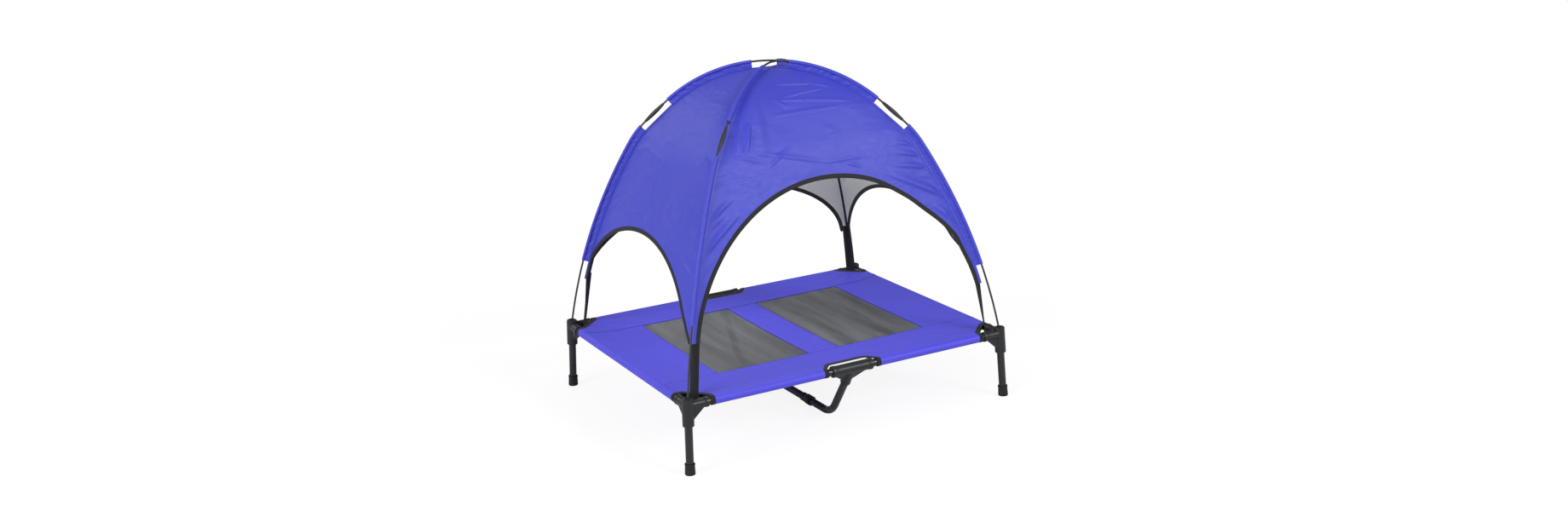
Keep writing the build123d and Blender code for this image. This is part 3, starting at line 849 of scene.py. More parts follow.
FRONT_FOLDS = [
    Fold((0.276, 0.445), (0.220, 0.429), 0.0072, 0.0042),
    Fold((0.290, 0.475), (0.205, 0.456), 0.0081, 0.0053),
    Fold((0.302, 0.511), (0.195, 0.490), 0.0081, 0.0057),
    Fold((0.319, 0.545), (0.268, 0.528), 0.0063, 0.0042),
    Fold((0.337, 0.596), (0.170, 0.508), 0.0120, 0.0076),
    Fold((0.354, 0.658), (0.230, 0.594), 0.0130, 0.0066),
    Fold((0.110, 0.482), (0.070, 0.464), 0.0063, 0.0023, False),
    Fold((-0.294, 0.477), (-0.255, 0.455), 0.0072, 0.0034),
    Fold((-0.310, 0.518), (-0.280, 0.498), 0.0063, 0.0038),
    Fold((-0.328, 0.561), (-0.245, 0.506), 0.0081, 0.0061),
    Fold((-0.340, 0.586), (-0.275, 0.546), 0.0072, 0.0046),
    Fold((-0.354, 0.639), (-0.235, 0.545), 0.0099, 0.0065),
    Fold((-0.350, 0.676), (-0.310, 0.640), 0.0072, 0.0042),
    Fold((-0.372, 0.703), (-0.350, 0.682), 0.0063, 0.0034),
    Fold((-0.118, 0.130), (-0.152, 0.420), 0.0420, 0.0060, False),
    Fold((-0.157, 0.298), (-0.190, 0.400), 0.0117, 0.0065, False),
    Fold((-0.176, 0.280), (-0.212, 0.395), 0.0099, 0.0053, False),
    Fold((-0.050, 0.158), (0.066, 0.179), 0.0072, 0.0027, False),
    Fold((0.055, 0.176), (0.100, 0.206), 0.0072, 0.0027, False),
    Fold((-0.048, 0.227), (0.088, 0.206), 0.0063, 0.0023, False),
    Fold((-0.074, 0.231), (0.140, 0.274), 0.0072, 0.0027, False),
    Fold((-0.090, 0.290), (0.098, 0.289), 0.0072, 0.0023, False),
    Fold((-0.076, 0.218), (-0.042, 0.271), 0.0072, 0.0025, False),
    Fold((-0.200, 0.390), (0.026, 0.457), 0.0072, 0.0021, False),
    Fold((0.010, 0.455), (0.130, 0.454), 0.0063, 0.0019, False),
    Fold((-0.225, 0.395), (-0.140, 0.434), 0.0072, 0.0023, False),
    Fold((-0.142, 0.446), (-0.068, 0.392), 0.0063, 0.0021, False),
]


@dataclass
class Canopy:
    """The canopy: four panels of cloth between the ridges, their sleeves, tapes and straps."""

    pole: PoleLine = PoleLine()
    thickness: float = 0.001
    tip_z: float = 0.316
    fine_grid: tuple[int, int] = (188, 250)
    plain_grid: tuple[int, int] = (130, 120)
    bulge: float = 0.009
    bulge_starts: float = 0.05
    bulge_grows: float = 0.30
    ripple: float = 0.0007
    flat_by_ridge: float = 0.007
    folds_grow: float = 0.027
    folds_end: float = 0.022
    seed: int = 7
    sleeve_r: float = 0.0038
    sleeve_cloth: float = 0.0007
    fin_half: float = 0.0008
    pucker: float = 0.0016
    pucker_step: float = 0.0062
    pleat_slant: float = 0.8
    sleeve_step: float = 0.0028
    seam_top: float = 0.012
    seam_half: float = 0.006
    seam_bend: float = 0.0016
    seam_cloth: float = 0.0005
    upper_sleeve: tuple[float, float] = (0.048, 0.292)
    lower_sleeve: tuple[float, float] = (0.394, 0.351)
    tape_width: float = 0.010
    tape_gap: float = 0.0003
    tape_cloth: float = 0.0006
    ridge_strip: float = 0.003
    cloth_foot: float = 0.303
    gather_z: float = 0.372
    tip_width: float = 0.013

    @cached_property
    def tip_run(self) -> float:
        """Distance down the pole to the tips of the cloth."""
        return float(self.pole.run_at(self.tip_z, self.pole.fin))

    @cached_property
    def foot_run(self) -> float:
        """Distance down the pole to the lowest cloth, which is folded round the straps."""
        return float(self.pole.run_at(self.cloth_foot, self.pole.fin))

    @cached_property
    def folds(self) -> dict[Side, list[Fold]]:
        """The folds of every panel: the front one's as listed, the others' drawn from a seed."""
        folds = {Side.FRONT: FRONT_FOLDS}
        for number, side in enumerate((Side.RIGHT, Side.REAR, Side.LEFT)):
            folds[side] = self.draw_folds(side, random.Random(self.seed + number))
        return folds

    def shares(self, side: Side) -> tuple[float, float]:
        """What part of the ridge's distance from the middle lies along a side, and out to it."""
        return (COS_D, SIN_D) if side.is_long else (SIN_D, COS_D)

    def draw_folds(self, side: Side, dice: random.Random) -> list[Fold]:
        """Draw pulls that start at the ridges, and a few flat creases between them.

        Args:
            side: which side of the cot.
            dice: where the draws come from.

        Returns:
            The panel's folds.
        """
        share = self.shares(side)[0]
        found = []
        for end in (-1.0, 1.0):
            for step in range(7):
                run = 0.42 + 0.045 * step + dice.uniform(-0.012, 0.012)
                reach = float(self.pole.at(run, self.pole.fin)[0]) * share
                length = dice.uniform(0.04, 0.13)
                rise = length * dice.uniform(0.25, 0.6)
                found.append(Fold((end * reach, run), (end * (reach - length), run - rise),
                                  dice.uniform(0.008, 0.012), dice.uniform(0.0022, 0.0052)))
        for step in range(7):
            run = 0.15 + 0.05 * step
            middle = dice.uniform(-0.08, 0.08)
            half = dice.uniform(0.03, 0.09)
            tilt = dice.uniform(-0.02, 0.02)
            found.append(Fold((middle - half, run - tilt), (middle + half, run + tilt),
                              dice.uniform(0.007, 0.010), dice.uniform(0.0014, 0.0024), False))
        return found

    def on_cloth(self, side: Side, across: np.ndarray, run: np.ndarray,
                 lift: float = 0.0) -> tuple[np.ndarray, np.ndarray]:
        """Find places on a panel's outer face.

        Args:
            side: which panel.
            across: distances from the panel's middle line, along the side.
            run: distances down the pole.
            lift: how far off the cloth.

        Returns:
            The places and the outward directions there, each as rows of three.
        """
        share, out_share = self.shares(side)
        reach, height, slope = self.pole.at(run, self.pole.fin)
        half = np.maximum(share * reach, 1e-9)
        off_ridge = half - np.abs(across)
        relief = sum(fold.relief(across, run) for fold in self.folds[side])
        wave = np.sin(across * 23.0 + run * 17.0 + 1.3) + np.sin(across * -13.0 + run * 29.0 + 0.4)
        relief = relief + self.ripple * wave
        relief = relief * ease((off_ridge - self.flat_by_ridge) / self.folds_grow)
        relief = relief * ease(ARCHES[side].margin(across, height) / self.folds_end)
        tent = np.clip(1.0 - (across / half) ** 4, 0.0, 1.0)
        relief = relief + self.bulge * tent * ease((run - self.bulge_starts) / self.bulge_grows) + lift
        rise = out_share * np.cos(slope)
        size = np.hypot(np.sin(slope), rise)
        normal = (np.outer(np.sin(slope) / size, side.out) + np.outer(rise / size, UP))
        place = np.outer(across, side.along) + np.outer(out_share * reach, side.out) + np.outer(height, UP)
        return place + normal * relief[:, None], normal

    def half_width(self, side: Side, height: np.ndarray) -> np.ndarray:
        """Distance from a panel's middle line to its ridges, by height."""
        return self.shares(side)[0] * self.pole.at(self.pole.run_at(height, self.pole.fin), self.pole.fin)[0]

    def cut_edge(self, side: Side, end: float, height: np.ndarray) -> np.ndarray:
        """How far across the panel its arch reaches, drawn in to the ridge at the tip.

        Args:
            side: which panel.
            end: -1.0 or 1.0, the end of the panel.
            height: heights to look at.

        Returns:
            Distances from the panel's middle line.
        """
        arch = ARCHES[side]
        half = self.half_width(side, height)
        leg = half - arch.width(height) - end * arch.aside + arch.hang(end, height)
        level = np.array([self.gather_z])
        wide = float((self.half_width(side, level) - arch.width(level))[0]) - end * arch.aside
        drop = (self.gather_z - height) / (self.gather_z - self.cloth_foot)
        gathered = np.minimum(leg, wide + (self.tip_width - wide) * drop)
        leg = np.where(drop > 0.0, gathered, leg)
        return end * (half - np.maximum(leg, self.ridge_strip))

    def edge_run(self, side: Side, share_across: np.ndarray) -> np.ndarray:
        """How far down the pole the cloth reaches, for each line from the top to its edge.

        Args:
            side: which side of the cot.
            share_across: the lines, as shares of the way from the middle to a ridge.

        Returns:
            The distances.
        """
        runs = np.linspace(0.0, self.foot_run, 3000)
        reach, height, _ = self.pole.at(runs, self.pole.fin)
        half = self.shares(side)[0] * reach
        low, high = (self.cut_edge(side, end, height) for end in (-1.0, 1.0))
        ends = []
        for share in share_across:
            inside = (share * half > low) & (share * half < high)
            first = int(np.argmax(inside))
            ends.append(runs[first] if inside.any() else self.foot_run)
        return np.array(ends)

    def flat_size(self, side: Side) -> tuple[float, float]:
        """Width and length of a panel's cloth before it is cut."""
        share, out_share = self.shares(side)
        reach, height, _ = self.pole.at(np.linspace(0.0, self.tip_run, 400), self.pole.fin)
        length = np.hypot(np.diff(out_share * reach), np.diff(height)).sum()
        return float(2.0 * share * reach[-1]), float(length)

    def make_panel(self, side: Side) -> bpy.types.Object:
        """One panel, as lines from the top to its edge, blue outside and grey inside.

        Args:
            side: which side of the cot.

        Returns:
            The dressed panel.
        """
        columns, rows = self.fine_grid if side is Side.FRONT else self.plain_grid
        even = np.linspace(-1.0, 1.0, columns + 1)
        share_across = 0.75 * even + 0.25 * np.sin(even * math.pi / 2.0)
        run = np.outer(np.linspace(1.0, 0.0, rows + 1), self.edge_run(side, share_across))
        across = self.shares(side)[0] * self.pole.at(run, self.pole.fin)[0] * share_across[None, :]
        places, _ = self.on_cloth(side, across.ravel(), run.ravel())
        spread = np.stack([across, run + 1.2 * list(Side).index(side)], axis=-1)
        panel = Bench.lay(f"canopy_cloth_{side.label}", places.reshape(rows + 1, columns + 1, 3), spread)
        Bench.weld(panel, 2e-5)
        for finish in (BLUE_CLOTH, GREY_LINING):
            panel.data.materials.append(finish.material())
        Bench.thicken(panel, self.thickness, inner=1)
        Bench.smooth(panel, 60.0)
        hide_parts(f"canopy_panel_{side.label}")
        return Bench.dress(panel, "canopy", "canopy_cloth")

    def beside_ridge(self, corner: Corner, run: float, gap: float, lift: float) -> list[Vector]:
        """Places on the two panels a little way from their ridge.

        Args:
            corner: which ridge.
            run: distance down the pole.
            gap: distance from the ridge along each panel.
            lift: how far off the cloth.

        Returns:
            The place on each panel, the one on the sideways direction's far side first.
        """
        _, ridge, _, sideways = self.pole.axes(corner, run)
        found = []
        for side, end in corner.sides:
            half = self.shares(side)[0] * float(self.pole.at(run, self.pole.fin)[0])
            across = end * max(half - gap, 0.0)
            place = Vector(self.on_cloth(side, np.array([across]), np.array([run]), lift)[0][0])
            found.append(((place - ridge).dot(sideways), place))
        found.sort(key=lambda entry: entry[0])
        return [place for _, place in found]

    def sleeve_section(self, corner: Corner, run: float, knots: np.ndarray,
                       swells: Sequence[float]) -> list[Vector]:
        """Open section of a pole sleeve: up one face of the fin, round the pole and down the other.

        Args:
            corner: which ridge the sleeve stands on.
            run: distance down the pole.
            knots: distances along the slanted pleats.
            swells: how far the gathered cloth stands off sideways at each of them.

        Returns:
            The section's points.
        """
        axis, ridge, outward, sideways = self.pole.axes(corner, run)
        fin = (axis - ridge).dot(outward)
        radius = self.sleeve_r
        tuck = math.asin(self.fin_half / radius)
        turns = np.linspace(-math.pi / 2.0 - tuck, -math.pi * 2.5 + tuck, 17)
        face = []
        for depth in (1.0, 0.86, 0.72, 0.58, 0.46, 0.36):
            swell = float(np.interp(run + self.pleat_slant * depth * fin, knots, swells))
            face.append((swell * math.sin(depth * math.pi), -depth * fin))
        section = [(swell - self.fin_half, up) for swell, up in face]
        section += [(radius * math.cos(turn), radius * math.sin(turn)) for turn in turns]
        section += [(swell + self.fin_half, up) for swell, up in reversed(face)]
        return [axis + sideways * across + outward * up for across, up in section]

    def make_sleeve(self, corner: Corner) -> bpy.types.Object:
        """Ridge seam with the upper and lower pole sleeve that stand on it.

        Args:
            corner: which corner of the cot.

        Returns:
            The dressed sleeve.
        """
        dice = random.Random(self.seed * 10 + list(Corner).index(corner))
        low_end = float(self.pole.run_at(self.lower_sleeve[1]))
        parts = []
        for begin, end in (self.upper_sleeve, (self.lower_sleeve[0], low_end)):
            steps = round((end - begin) / self.sleeve_step)
            knots = np.arange(begin - 0.03, end + 0.06, self.pucker_step)
            swells = [dice.uniform(-1.0, 1.0) * self.pucker for _ in knots]
            sections = []
            for run in np.linspace(begin, end, steps + 1):
                sections.append(self.sleeve_section(corner, float(run), knots, swells))
            sleeve = Bench.sweep("sleeve_part", sections)
            Bench.thicken(sleeve, self.sleeve_cloth)
            parts.append(sleeve)
        seam = []
        for run in np.linspace(self.seam_top, self.foot_run, 170):
            wide = self.beside_ridge(corner, float(run), self.seam_half, 0.0004)
            near = self.beside_ridge(corner, float(run), self.seam_bend, 0.0011)
            _, ridge, outward, _ = self.pole.axes(corner, float(run))
            seam.append([wide[0], near[0], ridge + outward * 0.0014, near[1], wide[1]])
        strip = Bench.sweep("seam_part", seam)
        Bench.thicken(strip, self.seam_cloth)
        parts.append(strip)
        sleeve = Bench.join(f"ridge_sleeve_{corner.label}", parts)
        Bench.smooth(sleeve, 50.0)
        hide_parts(f"pole_sleeve_{corner.label}")
        return Bench.dress(sleeve, "canopy", "canopy_cloth", BLUE_CLOTH)

    def make_ridge_tape(self, corner: Corner) -> bpy.types.Object:
        """Tape sewn over the seam along the inside of a ridge.

        Args:
            corner: which corner of the cot.

        Returns:
            The dressed tape.
        """
        sections = []
        below = -self.thickness - self.tape_gap
        for run in np.linspace(0.02, self.tip_run, 150):
            wide = self.beside_ridge(corner, float(run), self.tape_width / 2.0, below)
            near = self.beside_ridge(corner, float(run), self.seam_bend, below - 0.0002)
            sections.append([wide[1], near[1], near[0], wide[0]])
        tape = Bench.sweep(f"ridge_tape_{corner.label}", sections)
        Bench.thicken(tape, -self.tape_cloth)
        Bench.smooth(tape, 60.0)
        return Bench.dress(tape, "canopy", "binding", RIDGE_TAPE)

    def make_binding(self, side: Side) -> bpy.types.Object:
        """Tape folded over the edge of an arch.

        Args:
            side: which side of the cot.

        Returns:
            The dressed tape.
        """
        arch = ARCHES[side]
        count = 261
        height = arch.heights(self.cloth_foot, count)
        run = self.pole.run_at(height, self.pole.fin)
        across = np.where(np.arange(count) < count // 2, self.cut_edge(side, -1.0, height),
                          self.cut_edge(side, 1.0, height))
        places, normals = self.on_cloth(side, across, run, -self.thickness / 2.0)
        ahead = np.gradient(places, axis=0)
        upper = [(-0.0012, 0.0012), (0.002, 0.00135), (0.006, 0.0013), (0.0085, 0.0011), (0.0097, 0.0006)]
        profile = [*upper, (self.tape_width, 0.0), *((deep, -high) for deep, high in reversed(upper))]
        sections = []
        for place, normal, step in zip(places, normals, ahead):
            outward = Vector(normal)
            inward = outward.cross(Vector(step)).normalized()
            if inward.dot(UP * (arch.centre - place[2]) - side.along * Vector(place).dot(side.along)) < 0:
                inward.negate()
            sections.append([Vector(place) + inward * deep + outward * high for deep, high in profile])
        tape = Bench.sweep(f"arch_tape_{side.label}", sections, closed=True)
        Bench.smooth(tape, 60.0)
        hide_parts(f"arch_binding_{side.label}")
        return Bench.dress(tape, "canopy", "binding", ARCH_TAPE)

    def make_strap(self, corner: Corner) -> bpy.types.Object:
        """Webbing folded into a tip of the cloth and hanging down beside the connector.

        Args:
            corner: which corner of the cot.

        Returns:
            The dressed strap.
        """
        long_leg, short_leg, half = 0.015, 0.011, 0.011
        foot_reach, bend_z, end_z, thick = 0.531, 0.186, 0.158, 0.0016
        tip_reach = float(self.pole.at(self.tip_run, self.pole.fin)[0]) - self.thickness
        top = corner.out * tip_reach + UP * self.tip_z
        foot = corner.out * foot_reach + UP * bend_z
        sideways = Vector((-corner.out.y, corner.out.x, 0.0))
        legs = [Vector((-corner.value[0] * long_leg, 0.0, 0.0)), Vector((0.0, -corner.value[1] * short_leg, 0.0))]
        legs.sort(key=lambda leg: leg.dot(sideways))
        sections = []
        for share in np.linspace(0.0, 1.0, 41):
            middle = top.lerp(foot, share)
            left = legs[0].lerp(sideways * -half, share)
            right = legs[1].lerp(sideways * half, share)
            sections.append([middle + left * part for part in (1.0, 0.55, 0.1)]
                            + [middle + right * part for part in (0.1, 0.55, 1.0)])
        for drop in np.linspace(0.004, bend_z - end_z, 8):
            sections.append([point - UP * drop for point in sections[40]])
        strap = Bench.sweep(f"corner_webbing_{corner.label}", sections)
        Bench.thicken(strap, thick)
        Bench.smooth(strap, 60.0)
        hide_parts(f"corner_strap_{corner.label}")
        return Bench.dress(strap, "canopy", "webbing", WEBBING)

    def build(self) -> None:
        trims = {side: [self.make_binding(side)] for side in Side}
        for corner in Corner:
            side = Side.FRONT if corner.value[1] < 0 else Side.REAR
            trims[side] += [self.make_sleeve(corner), self.make_ridge_tape(corner), self.make_strap(corner)]
        for side in Side:
            panel = self.make_panel(side)
            area = sum(face.area for face in panel.data.polygons) / 2.0
            self.flat_size(side)
            LOG.info("%s: flat %.3f by %.3f, area %.3f", panel.name, *self.flat_size(side), area)


@dataclass
class CotSheet:
    """The cot's sheet: flat cloth wrapped round the four rails, bound cut-outs, net windows and seams."""

    rail_z: float = 0.168
    rail_r: float = 0.0095
    room: float = 0.0004
    thickness: float = 0.0012
    grid: float = 0.0065
    seam_reach: float = 0.038
    sag: float = 0.006
    binding: float = 0.011
    under_tape: float = 0.002
    tape_proud: float = 0.0005
    tape_cloth: float = 0.0018
    cutter_z: tuple[float, float] = (0.10, 0.24)
    corner_cut: tuple[float, float, float] = (0.057, 0.067, 0.014)
    notch: tuple[float, float, float] = (0.069, 0.023, 0.012)
    notch_back: float = 0.050
    window_x: tuple[float, float] = (0.044, 0.298)
    window_y: float = 0.222

    @property
    def top_z(self) -> float:
        """Height of the sheet's upper face at the rails."""
        return self.rail_z + self.rail_r + self.room + self.thickness

    def sink(self, x: np.ndarray, y: np.ndarray) -> np.ndarray:
        """How far the sheet gives between the rails, with slight ripples near the corners.

        Args:
            x: places along the cot.
            y: places across it.

        Returns:
            Heights above the level of the rails' tops.
        """
        bowl = np.clip(1.0 - (x / HALF_L) ** 2, 0, 1) * np.clip(1.0 - (y / HALF_W) ** 2, 0, 1)
        from_corner = np.hypot(HALF_L - np.abs(x), HALF_W - np.abs(y))
        turn = np.arctan2(HALF_W - np.abs(y), np.maximum(HALF_L - np.abs(x), 1e-6))
        ripple = np.sin(turn * 16.0) * np.exp(-((from_corner - 0.12) / 0.06) ** 2)
        inner = ease((HALF_L - np.abs(x)) / 0.03) * ease((HALF_W - np.abs(y)) / 0.03)
        return -self.sag * bowl + 0.0005 * ripple * inner

    def wrap(self, proud: float, thickness: float) -> list[tuple[float, float, float]]:
        """Way of the cloth round a rail.

        Args:
            proud: how far the outer face lies above the sheet's.
            thickness: of the cloth.

        Returns:
            Places as distance on the cloth, outwards from the rail's axis, and up from it.
        """
        radius = self.rail_r + self.room + self.thickness + proud
        seam = Vector((-self.seam_reach, radius - 2.0 * thickness - 0.00005))
        tangent = math.atan2(seam.y, -seam.x) - math.acos(radius / seam.length)
        last = math.pi / 2.0 - tangent
        way = []
        for turn in np.linspace(0.0, last, 17)[1:]:
            way.append((radius * turn, radius * math.sin(turn), radius * math.cos(turn)))
        length, out, up = way[-1]
        straight = math.hypot(seam.x - out, seam.y - up)
        for share in np.linspace(0.0, 1.0, 6)[1:]:
            way.append((length + straight * share, out + (seam.x - out) * share, up + (seam.y - up) * share))
        return way

    def lines(self, stops: Sequence[float]) -> np.ndarray:
        """Grid lines from the middle out, that pass through each stop."""
        places = [np.linspace(low, high, max(2, round((high - low) / self.grid)) + 1)[1:]
                  for low, high in zip(stops, stops[1:])]
        half = np.concatenate(places)
        return np.concatenate([-half[::-1], [0.0], half])

    def shell(self, name: str, proud: float, thickness: float) -> bpy.types.Object:
        """The sheet before its cut-outs, wrapped round the rails.

        Args:
            name: name of the new piece.
            proud: how far its outer face lies above the sheet's.
            thickness: of the cloth.

        Returns:
            The wrapped cloth, still without windows.
        """
        way = self.wrap(proud, thickness)
        along = self.lines((0.0, *self.window_x, HALF_L))
        across = self.lines((0.0, self.window_y, HALF_W))
        x_lines = self.wrapped(along, HALF_L, way)
        y_lines = self.wrapped(across, HALF_W, way)
        places = np.zeros((len(y_lines), len(x_lines), 3))
        spread = np.zeros((len(y_lines), len(x_lines), 2))
        for row, (flat_y, y, drop_y) in enumerate(y_lines):
            for column, (flat_x, x, drop_x) in enumerate(x_lines):
                places[row, column] = (x, y, drop_x + drop_y)
                spread[row, column] = (flat_x, flat_y)
        places[..., 2] += self.top_z + proud
        flat = (np.abs(spread[..., 0]) <= HALF_L) & (np.abs(spread[..., 1]) <= HALF_W)
        places[..., 2] += np.where(flat, self.sink(places[..., 0], places[..., 1]), 0.0)
        sheet = Bench.lay(name, places, spread)
        self.drop_corners(sheet, spread.reshape(-1, 2))
        Bench.thicken(sheet, thickness)
        return sheet

    def wrapped(self, places: np.ndarray, half: float,
                way: Sequence[tuple[float, float, float]]) -> list[tuple[float, float, float]]:
        """Grid lines over one direction of the sheet, with both wraps, as flat place, place and drop.

        Args:
            places: grid lines between the rails.
            half: distance to the rail's axis.
            way: the line or wrap that is followed.

        Returns:
            The lines, from one end to the other.
        """
        lines = [(float(place), float(place), 0.0) for place in places]
        radius = math.hypot(*way[0][1:])
        for length, out, up in way:
            lines.append((half + length, half + out, up - radius))
            lines.insert(0, (-half - length, -half - out, up - radius))
        return lines

    def drop_corners(self, sheet: bpy.types.Object, flat: np.ndarray) -> None:
        """Cut the cloth away about the four corners, where two wraps would meet.

        Args:
            sheet: the wrapped cloth.
            flat: place of each point on the flat cloth.
        """
        points = np.array([tuple(vertex.co) for vertex in sheet.data.vertices])
        off_x, off_y = HALF_L - np.abs(points[:, 0]), HALF_W - np.abs(points[:, 1])
        beyond = (np.abs(flat[:, 0]) > HALF_L + 1e-6) & (np.abs(flat[:, 1]) > HALF_W + 1e-6)
        reach, across, _ = self.corner_cut
        within = 0.003
        inside = (np.maximum(off_x, off_y) < reach - within) & (off_x + off_y < across - 2.0 * within)
        self.delete_faces(sheet, lambda owners: beyond[owners].any() or inside[owners].all())

    @staticmethod
    def delete_faces(piece: bpy.types.Object, unwanted: Callable[[list[int]], bool]) -> None:
        """Delete the faces that a test on their points picks.

        Args:
            piece: what is worked on.
            unwanted: the test that picks them, by a face's points.
        """
        with Bench.editing(piece, "DESELECT"):
            bpy.ops.mesh.select_mode(type="FACE")
        for face in piece.data.polygons:
            face.select = bool(unwanted(list(face.vertices)))
        with Bench.editing(piece, ""):
            bpy.ops.mesh.delete(type="FACE")
            bpy.ops.mesh.select_mode(type="VERT")

    def open_windows(self, sheet: bpy.types.Object) -> None:
        """Delete the cloth where the net windows are, and close its edge.

        Args:
            sheet: the wrapped cloth.
        """
        near, far = self.window_x
        points = np.array([tuple(vertex.co) for vertex in sheet.data.vertices])
        self.delete_faces(sheet, lambda owners: near < abs(points[owners, 0].mean()) < far
                          and abs(points[owners, 1].mean()) < self.window_y)
        with Bench.editing(sheet, "DESELECT"):
            bpy.ops.mesh.select_non_manifold(extend=False, use_wire=False, use_multi_face=False,
                                             use_non_contiguous=False, use_verts=False)
            bpy.ops.mesh.bridge_edge_loops(type="PAIRS")

    @staticmethod
    def block(name: str, outline: Sequence[Point], low: float, high: float, radius: float = 0.0,
              round_at: Sequence[int] = ()) -> bpy.types.Object:
        """Upright block for cutting.

        Args:
            name: name of the new piece.
            outline: its corners, seen from above.
            low: height of its foot.
            high: height of its top.
            radius: of its rounded upright edges.
            round_at: which of its corners are rounded.

        Returns:
            The closed block.
        """
        corners = [Vector((x, y, 0.0)) for x, y in outline]
        way = []
        for number, corner in enumerate(corners):
            if number not in round_at:
                way.append(corner)
                continue
            before = (corners[number - 1] - corner).normalized()
            after = (corners[(number + 1) % len(corners)] - corner).normalized()
            tangent = radius / math.tan(before.angle(after) / 2.0)
            for share in np.linspace(0.0, 1.0, 15):
                pull = before * (1.0 - share) ** 2 + after * share ** 2
                way.append(corner + pull * tangent)
        return Bench.sweep(name, [[point + UP * height for point in way] for height in (low, high)], closed=True)

    def corner_block(self, corner: Corner, margin: float) -> bpy.types.Object:
        """Cutter about a corner: a square that is cut across inside the sheet.

        Args:
            corner: which corner of the cot.
            margin: how far it reaches past the cut-out.

        Returns:
            The cutter.
        """
        reach, across, radius = self.corner_cut
        reach += margin
        short = across + margin * math.sqrt(2.0) - reach
        outline = [(-reach, -reach), (reach, -reach), (reach, short), (short, reach), (-reach, reach)]
        side_x, side_y = corner.value
        outline = [(side_x * (HALF_L - x), side_y * (HALF_W - y)) for x, y in outline]
        return self.block("corner_cutter", outline, *self.cutter_z, radius + margin, (2, 3))

    def notch_block(self, side: Side, margin: float) -> bpy.types.Object:
        """Cutter with round upright edges about a tee.

        Args:
            side: which side of the cot.
            margin: how far it reaches past the cut-out.

        Returns:
            The cutter.
        """
        half, depth, radius = (size + margin for size in self.notch)
        back = self.notch_back + margin * 0.5
        outline = [(-half, -depth), (half, -depth), (half, 0.0), (back, depth), (-back, depth), (-half, 0.0)]
        outline = [(x, side.out.y * (HALF_W - y)) for x, y in outline]
        return self.block("notch_cutter", outline, *self.cutter_z, radius, (3, 4))

    def under_notch(self, side: Side, half: float) -> bpy.types.Object:
        """Cutter for the lower layer of the sleeve beside a tee, which is open there."""
        near, far = side.out.y * (HALF_W - 0.005), side.out.y * (HALF_W - self.seam_reach - 0.006)
        outline = [(-half, near), (half, near), (half, far), (-half, far)]
        return self.block("notch_cutter", outline, self.cutter_z[0], self.top_z - 3.0 * self.thickness)

    @staticmethod
    def carve(piece: bpy.types.Object, cutter: bpy.types.Object, operation: str) -> None:
        """Cut a piece by a closed cutter, which is used up."""
        Bench.modify(piece, "BOOLEAN", object=cutter, operation=operation, solver="MANIFOLD")
        bpy.data.objects.remove(cutter)

    def make_sheet(self) -> bpy.types.Object:
        """The cloth with its cut-outs and window openings."""
        sheet = self.shell("sheet_cloth", 0.0, self.thickness)
        self.open_windows(sheet)
        margin = self.binding - self.under_tape
        for corner in Corner:
            self.carve(sheet, self.corner_block(corner, margin), "DIFFERENCE")
        for side in (Side.FRONT, Side.REAR):
            self.carve(sheet, self.notch_block(side, margin), "DIFFERENCE")
            self.carve(sheet, self.under_notch(side, self.notch[0] + margin), "DIFFERENCE")
        Bench.smooth(sheet, 50.0)
        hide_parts("cot_sheet")
        return Bench.dress(sheet, "cot", "cot_cloth", COT_CLOTH)

    def make_binding(self, name: str, node: str, cuts: Sequence[Sequence[bpy.types.Object]]) -> bpy.types.Object:
        """Tape folded over cut edges: a thicker copy of the wrapped sheet, kept only along the cuts.

        Args:
            name: name of the new piece.
            node: the frame's node that it stands for.
            cuts: for each cut-out a block that reaches to the tape's outer edge, and what is cut from that.

        Returns:
            The finished tape.
        """
        parts = []
        for outer, *inner in cuts:
            for cutter in inner:
                self.carve(outer, cutter, "DIFFERENCE")
            tape = self.shell("tape_part", self.tape_proud, self.tape_cloth)
            self.carve(tape, outer, "INTERSECT")
            parts.append(tape)
        tape = Bench.join(name, parts)
        Bench.smooth(tape, 40.0)
        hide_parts(node)
        return Bench.dress(tape, "cot", "binding", EDGE_TAPE)

    def make_window(self, side: Side) -> bpy.types.Object:
        """Net sewn under the edges of its opening.

        Args:
            side: which side of the cot.

        Returns:
            The dressed net.
        """
        lap = 0.005
        middle = side.out.x * sum(self.window_x) / 2.0
        half = (self.window_x[1] - self.window_x[0]) / 2.0 + lap
        x, y = np.meshgrid(np.linspace(middle - half, middle + half, 45),
                           np.linspace(-self.window_y - lap, self.window_y + lap, 73))
        z = self.top_z - self.thickness + 0.0002 + self.sink(x, y)
        net = Bench.lay(f"window_net_{side.label}", np.stack([x, y, z], axis=-1), np.stack([x, y], axis=-1))
        Bench.thicken(net, 0.0008)
        Bench.smooth(net)
        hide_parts(f"mesh_window_{side.label}")
        Bench.dress(net, "cot", "mesh", NET)
        return net

    def seam_strip(self, way: Sequence[tuple[float, float]], width: float) -> bpy.types.Object:
        """Flat seam along a line on the sheet.

        Args:
            way: the line or wrap that is followed.
            width: of the seam.

        Returns:
            The seam, not dressed yet.
        """
        sections = []
        for first, second in zip(way, way[1:]):
            line = np.subtract(second, first)
            count = max(2, round(float(np.hypot(*line)) / 0.008))
            side = Vector((-line[1], line[0], 0.0)).normalized() * (width / 2.0)
            for share in np.linspace(0.0, 1.0, count + 1)[0 if not sections else 1:]:
                x, y = np.add(first, line * share)
                bend = self.top_z - self.rail_z
                over = max(abs(x) - HALF_L, 0.0)
                z = self.top_z + float(self.sink(np.array([x]), np.array([y]))[0]) - bend
                middle = Vector((x, y, z + math.sqrt(bend ** 2 - over ** 2)))
                sections.append([middle + side * part + UP * high for part, high in
                                 ((-1.0, 0.0001), (-0.8, 0.0004), (0.8, 0.0004), (1.0, 0.0001))][::-1])
        strip = Bench.sweep("seam_part", sections)
        Bench.thicken(strip, 0.0003)
        return strip

